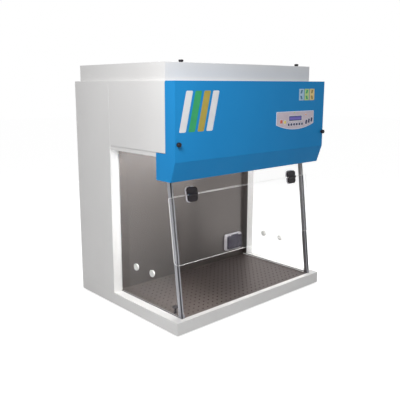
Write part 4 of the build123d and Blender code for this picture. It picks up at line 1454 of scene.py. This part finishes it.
@dataclass
class ControlPanel(Assembly):
    """Control plate with its display, keys, status lamp and board."""

    rim: float = 0.0024
    bezel: float = 0.0030
    bezel_depth: float = 0.0006
    key_radius: float = 0.0007
    round_keys: int = 6
    slant_keys: int = 3
    lens_radius: float = 0.0036
    lens_inset: float = 0.064
    lens_drop: float = 0.019
    marker_radius: float = 0.0034
    marker_shift: float = 0.0094
    marker_drop: float = 0.0055

    def build(self) -> None:
        """Make every piece of the control panel."""
        self.make_plate()
        self.make_display()
        keys = [("key_red", Finishes.red_key), ("key_yellow", Finishes.yellow_key)]
        for kind, count in (("round", self.round_keys), ("slant", self.slant_keys)):
            keys += [(f"key_{kind}_{index + 1}", Finishes.dark_key) for index in range(count)]
        for node, finish in keys:
            self.form(node, f"{node}_cap", finish, self.key_radius)
        self.dress("control_board", Finishes.board)
        self.make_lamps()

    def make_lamps(self) -> None:
        """Domed status lens at the right, and a small round marker at the upper edge."""
        low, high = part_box("control_plate")
        lens = Vector((high.x - self.lens_inset, low.y, high.z - self.lens_drop))
        marker = Vector((
            (low.x + high.x) / 2 - self.marker_shift, low.y, high.z - self.marker_drop
        ))
        for name, seat, radius, finish in (
            ("status_lens", lens, self.lens_radius, Finishes.lens_orange),
            ("upper_marker", marker, self.marker_radius, Finishes.ink_lime),
        ):
            shape = [
                (radius, 0.0),
                (radius, 0.25 * radius),
                (0.85 * radius, 0.4 * radius),
                (0.5 * radius, 0.52 * radius),
            ]
            dome = smoothed(turned(name, shape, 24), math.radians(60))
            place(dome, moved(*seat) @ facing(TO_USER))
            self.mount(dome, "fascia_door", finish)

    def make_plate(self) -> None:
        """Plate with a pale rim around its outline and its cut-outs."""
        plate = formed_copy("control_plate", 0.0)
        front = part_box("control_plate")[0].y
        select_faces(plate, lambda face: face.normal.y < -FACES_ALONG)
        bpy.ops.mesh.inset(thickness=self.rim, use_boundary=True)
        stop_editing()
        inner = {polygon.index for polygon in plate.data.polygons if polygon.select}
        two_tone(
            plate, (Finishes.panel_plastic, Finishes.panel_rim), lambda face: face.index in inner
        )
        self.mount(plate, "fascia_door", Finishes.panel_plastic, ["control_plate"])

    def make_display(self) -> None:
        """Display with a sunk field inside its bezel."""
        low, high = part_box("display")
        display = slab("display_unit", low, high)
        select_faces(display, lambda face: face.normal.y < -FACES_ALONG)
        bpy.ops.mesh.inset(thickness=self.bezel)
        sink = (0, self.bezel_depth, 0)
        bpy.ops.mesh.extrude_region_move(TRANSFORM_OT_translate={"value": sink})
        stop_editing()
        field = {polygon.index for polygon in display.data.polygons if polygon.select}
        two_tone(
            display, (Finishes.display_field, Finishes.dark_key), lambda face: face.index in field
        )
        self.mount(display, "fascia_door", Finishes.display_field, ["display"])


@dataclass
class FasciaDoor(Assembly):
    """Blue folded fascia with its hinges, knobs, prints and control panel."""

    fold_radius: float = 0.0011
    fold_segments: int = 3
    fold_angle: float = math.radians(9)

    def build(self) -> None:
        """Make every piece of the fascia."""
        self.form(
            "fascia", "fascia_door", Finishes.blue_paint, self.fold_radius,
            self.fold_segments, self.fold_angle,
        )
        self.form("fascia_hinge_fixed", "cabinet", Finishes.zinc_steel, 0.0)
        self.form("fascia_hinge_moving", "fascia_door", Finishes.zinc_steel, 0.0)
        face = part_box("fascia")[0].y
        for side in ("left", "right"):
            node = f"fascia_knob_{side}"
            centre = middle(node)
            HandKnob().make(
                f"{node}_fluted", Vector((centre.x, face, centre.z)), TO_USER,
                f"{side}_fascia_knob", [node],
            )
        Decoration().build()
        ControlPanel().build()


@dataclass
class AirPlant(Assembly):
    """Blower, filters and top fittings."""

    frame_radius: float = 0.0008
    fin_count: int = 9
    fin_depth: float = 0.08
    fins_start: float = 0.15
    fins_share: float = 0.7

    def build(self) -> None:
        """Make every piece that moves or filters the air."""
        self.form("blower_housing", "cabinet", Finishes.zinc_steel, 0.0)
        self.dress("impeller", Finishes.zinc_steel)
        self.make_motor()
        self.form("main_filter_frame", "cabinet", Finishes.aluminium, self.frame_radius)
        self.dress("main_filter_media", Finishes.filter_paper)
        self.dress("exhaust_filter", Finishes.carbon_mat)
        box_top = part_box("top_box")[1].z
        low_knob = HandKnob(radius=0.0105, reach=0.011, neck=0.002, neck_radius=0.008)
        for side in ("left", "right"):
            node = f"top_knob_{side}"
            centre = middle(node)
            low_knob.make(
                f"{node}_fluted", Vector((centre.x, centre.y, box_top)), UPWARDS,
                f"{side}_top_knob", [node],
            )

    def make_motor(self) -> None:
        """Finned motor behind the blower's shaft."""
        low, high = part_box("blower_motor")
        radius = (high.z - low.z) / 2
        length = high.y - low.y
        groove = (1 - self.fin_depth) * radius
        first = self.fins_start * length
        pitch = self.fins_share * length / self.fin_count
        shape = [(0.88 * radius, 0.0), (radius, 0.08 * length), (radius, first)]
        for fin in range(self.fin_count):
            start = first + fin * pitch
            half_way = start + 0.5 * pitch
            shape += [
                (groove, start), (groove, half_way), (radius, half_way), (radius, start + pitch)
            ]
        shape.append((radius, length))
        motor = smoothed(turned("motor_finned", shape, 48))
        centre = middle("blower_motor")
        place(motor, moved(centre.x, low.y, centre.z) @ facing(TO_REAR))
        self.mount(motor, "cabinet", Finishes.motor_iron, ["blower_motor"])


# ---------------------------------------------------------------- studio
@dataclass
class Studio:
    """Pale floor, white surroundings, soft lights and the camera."""

    floor_size: float = 30.0
    floor_albedo: float = 0.55
    floor_glow: float = 0.8
    fill: float = 0.35
    key_power: float = 28.0
    key_size: float = 0.7
    key_place: tuple[float, float, float] = (-1.5, -1.2, 1.8)
    rear_power: float = 24.0
    rear_size: float = 1.0
    rear_place: tuple[float, float, float] = (1.5, 1.8, 1.9)
    studio_aim: tuple[float, float, float] = (0.0, 0.0, 0.6)
    chamber_power: float = 1.65
    chamber_aim: tuple[float, float, float] = (0.0, 0.12, 0.45)
    chamber_size: tuple[float, float] = (0.6, 0.03)
    chamber_shift: float = 0.05
    chamber_drop: float = 0.075
    camera_place: tuple[float, float, float] = (-1.9023, -2.0571, 1.0665)
    camera_yaw: float = 0.7312
    camera_pitch: float = 0.1943
    lens: float = 49.25
    shift: tuple[float, float] = (0.0135, -0.018)

    def build(self) -> None:
        """Set up the whole studio."""
        self.make_world()
        self.make_floor()
        self.make_lights()
        self.make_camera()
        bpy.context.scene.view_settings.view_transform = "Standard"

    @staticmethod
    def seen_rays(tree: bpy.types.NodeTree) -> Socket:
        """Whether a ray shows the background: from the camera, or by way of gloss or glass.

        Args:
            tree: Node tree that needs the answer.

        Returns:
            1 for such a ray, and 0 for another.
        """
        path = tree.nodes.new("ShaderNodeLightPath")
        value = path.outputs["Is Camera Ray"]
        for name in ("Is Glossy Ray", "Is Transmission Ray"):
            either = tree.nodes.new("ShaderNodeMath")
            either.operation = "MAXIMUM"
            tree.links.new(value, either.inputs[0])
            tree.links.new(path.outputs[name], either.inputs[1])
            value = either.outputs["Value"]
        return value

    def make_world(self) -> None:
        """White where it shows, and a soft fill where it only lights."""
        world = bpy.data.worlds.new("Studio")
        bpy.context.scene.world = world
        world.use_nodes = True
        tree = world.node_tree
        light = tree.nodes["Background"]
        light.inputs["Color"].default_value = WHITE
        light.inputs["Strength"].default_value = self.fill
        white = tree.nodes.new("ShaderNodeBackground")
        mix = tree.nodes.new("ShaderNodeMixShader")
        tree.links.new(self.seen_rays(tree), mix.inputs["Fac"])
        tree.links.new(light.outputs["Background"], mix.inputs[1])
        tree.links.new(white.outputs["Background"], mix.inputs[2])
        white.inputs["Color"].default_value = WHITE
        tree.links.new(mix.outputs["Shader"], tree.nodes["World Output"].inputs["Surface"])

    def make_floor(self) -> None:
        """Pale floor that keeps the hood's shadow."""
        bpy.ops.object.select_all(action="DESELECT")
        bpy.ops.mesh.primitive_plane_add(size=self.floor_size)
        floor = bpy.context.object
        floor.name = "studio_floor"
        material = bpy.data.materials.new("floor_paper")
        material.use_nodes = True
        tree = material.node_tree
        tree.nodes.remove(tree.nodes["Principled BSDF"])
        paper = tree.nodes.new("ShaderNodeBsdfDiffuse")
        paper.inputs["Color"].default_value = (self.floor_albedo,) * 3 + (1.0,)
        glow = tree.nodes.new("ShaderNodeEmission")
        strength = tree.nodes.new("ShaderNodeMath")
        strength.operation = "MULTIPLY"
        strength.inputs[1].default_value = self.floor_glow
        tree.links.new(self.seen_rays(tree), strength.inputs[0])
        tree.links.new(strength.outputs["Value"], glow.inputs["Strength"])
        both = tree.nodes.new("ShaderNodeAddShader")
        tree.links.new(paper.outputs["BSDF"], both.inputs[0])
        tree.links.new(glow.outputs["Emission"], both.inputs[1])
        tree.links.new(both.outputs["Shader"], tree.nodes["Material Output"].inputs["Surface"])
        floor.data.materials.append(material)

    def add_area(
        self, name: str, spot: Vector, aim: Vector, size: tuple[float, float], power: float
    ) -> None:
        """Soft rectangular light.

        Args:
            name: Name of the light.
            spot: Where it hangs.
            aim: What it points at.
            size: Its width and height.
            power: Its power in watts.
        """
        light = bpy.data.lights.new(name, "AREA")
        light.shape = "RECTANGLE"
        light.size, light.size_y = size
        light.energy = power
        lamp = bpy.data.objects.new(name, light)
        lamp.location = spot
        lamp.rotation_euler = (aim - spot).to_track_quat("-Z", "Y").to_euler()
        bpy.context.scene.collection.objects.link(lamp)

    def make_lights(self) -> None:
        """Key light at the front left, a weaker one at the back, and the hood's own lamp."""
        aim = Vector(self.studio_aim)
        for name, spot, width, power in (
            ("key_light", self.key_place, self.key_size, self.key_power),
            ("rear_light", self.rear_place, self.rear_size, self.rear_power),
        ):
            self.add_area(name, Vector(spot), aim, (width, width), power)
        low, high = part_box("lamp_tube")
        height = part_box("lamp_channel")[0].z - self.chamber_drop
        below = Vector((self.chamber_shift, (low.y + high.y) / 2, height))
        aim = Vector(self.chamber_aim)
        self.add_area("chamber_light", below, aim, self.chamber_size, self.chamber_power)

    def make_camera(self) -> None:
        """Camera at the front left, a little above the hood's middle."""
        camera = bpy.data.cameras.new("camera")
        camera.lens = self.lens
        camera.shift_x, camera.shift_y = self.shift
        holder = bpy.data.objects.new("camera", camera)
        holder.location = self.camera_place
        holder.rotation_euler = (math.pi / 2 - self.camera_pitch, 0.0, -self.camera_yaw)
        bpy.context.scene.collection.objects.link(holder)
        bpy.context.scene.camera = holder


def main() -> None:
    """Build the hood's looks, then the studio around it."""
    logging.basicConfig(level=logging.INFO, format="%(message)s")
    screws = Screws()
    casework = Casework()
    casework.build()
    casework.fasten(screws)
    Chamber().build()
    MainsSocket().build()
    Glazing().build()
    FlapHinges().build()
    FasciaDoor().build()
    AirPlant().build()
    screws.remove_pattern()
    Studio().build()


if __name__ == "__main__":
    main()
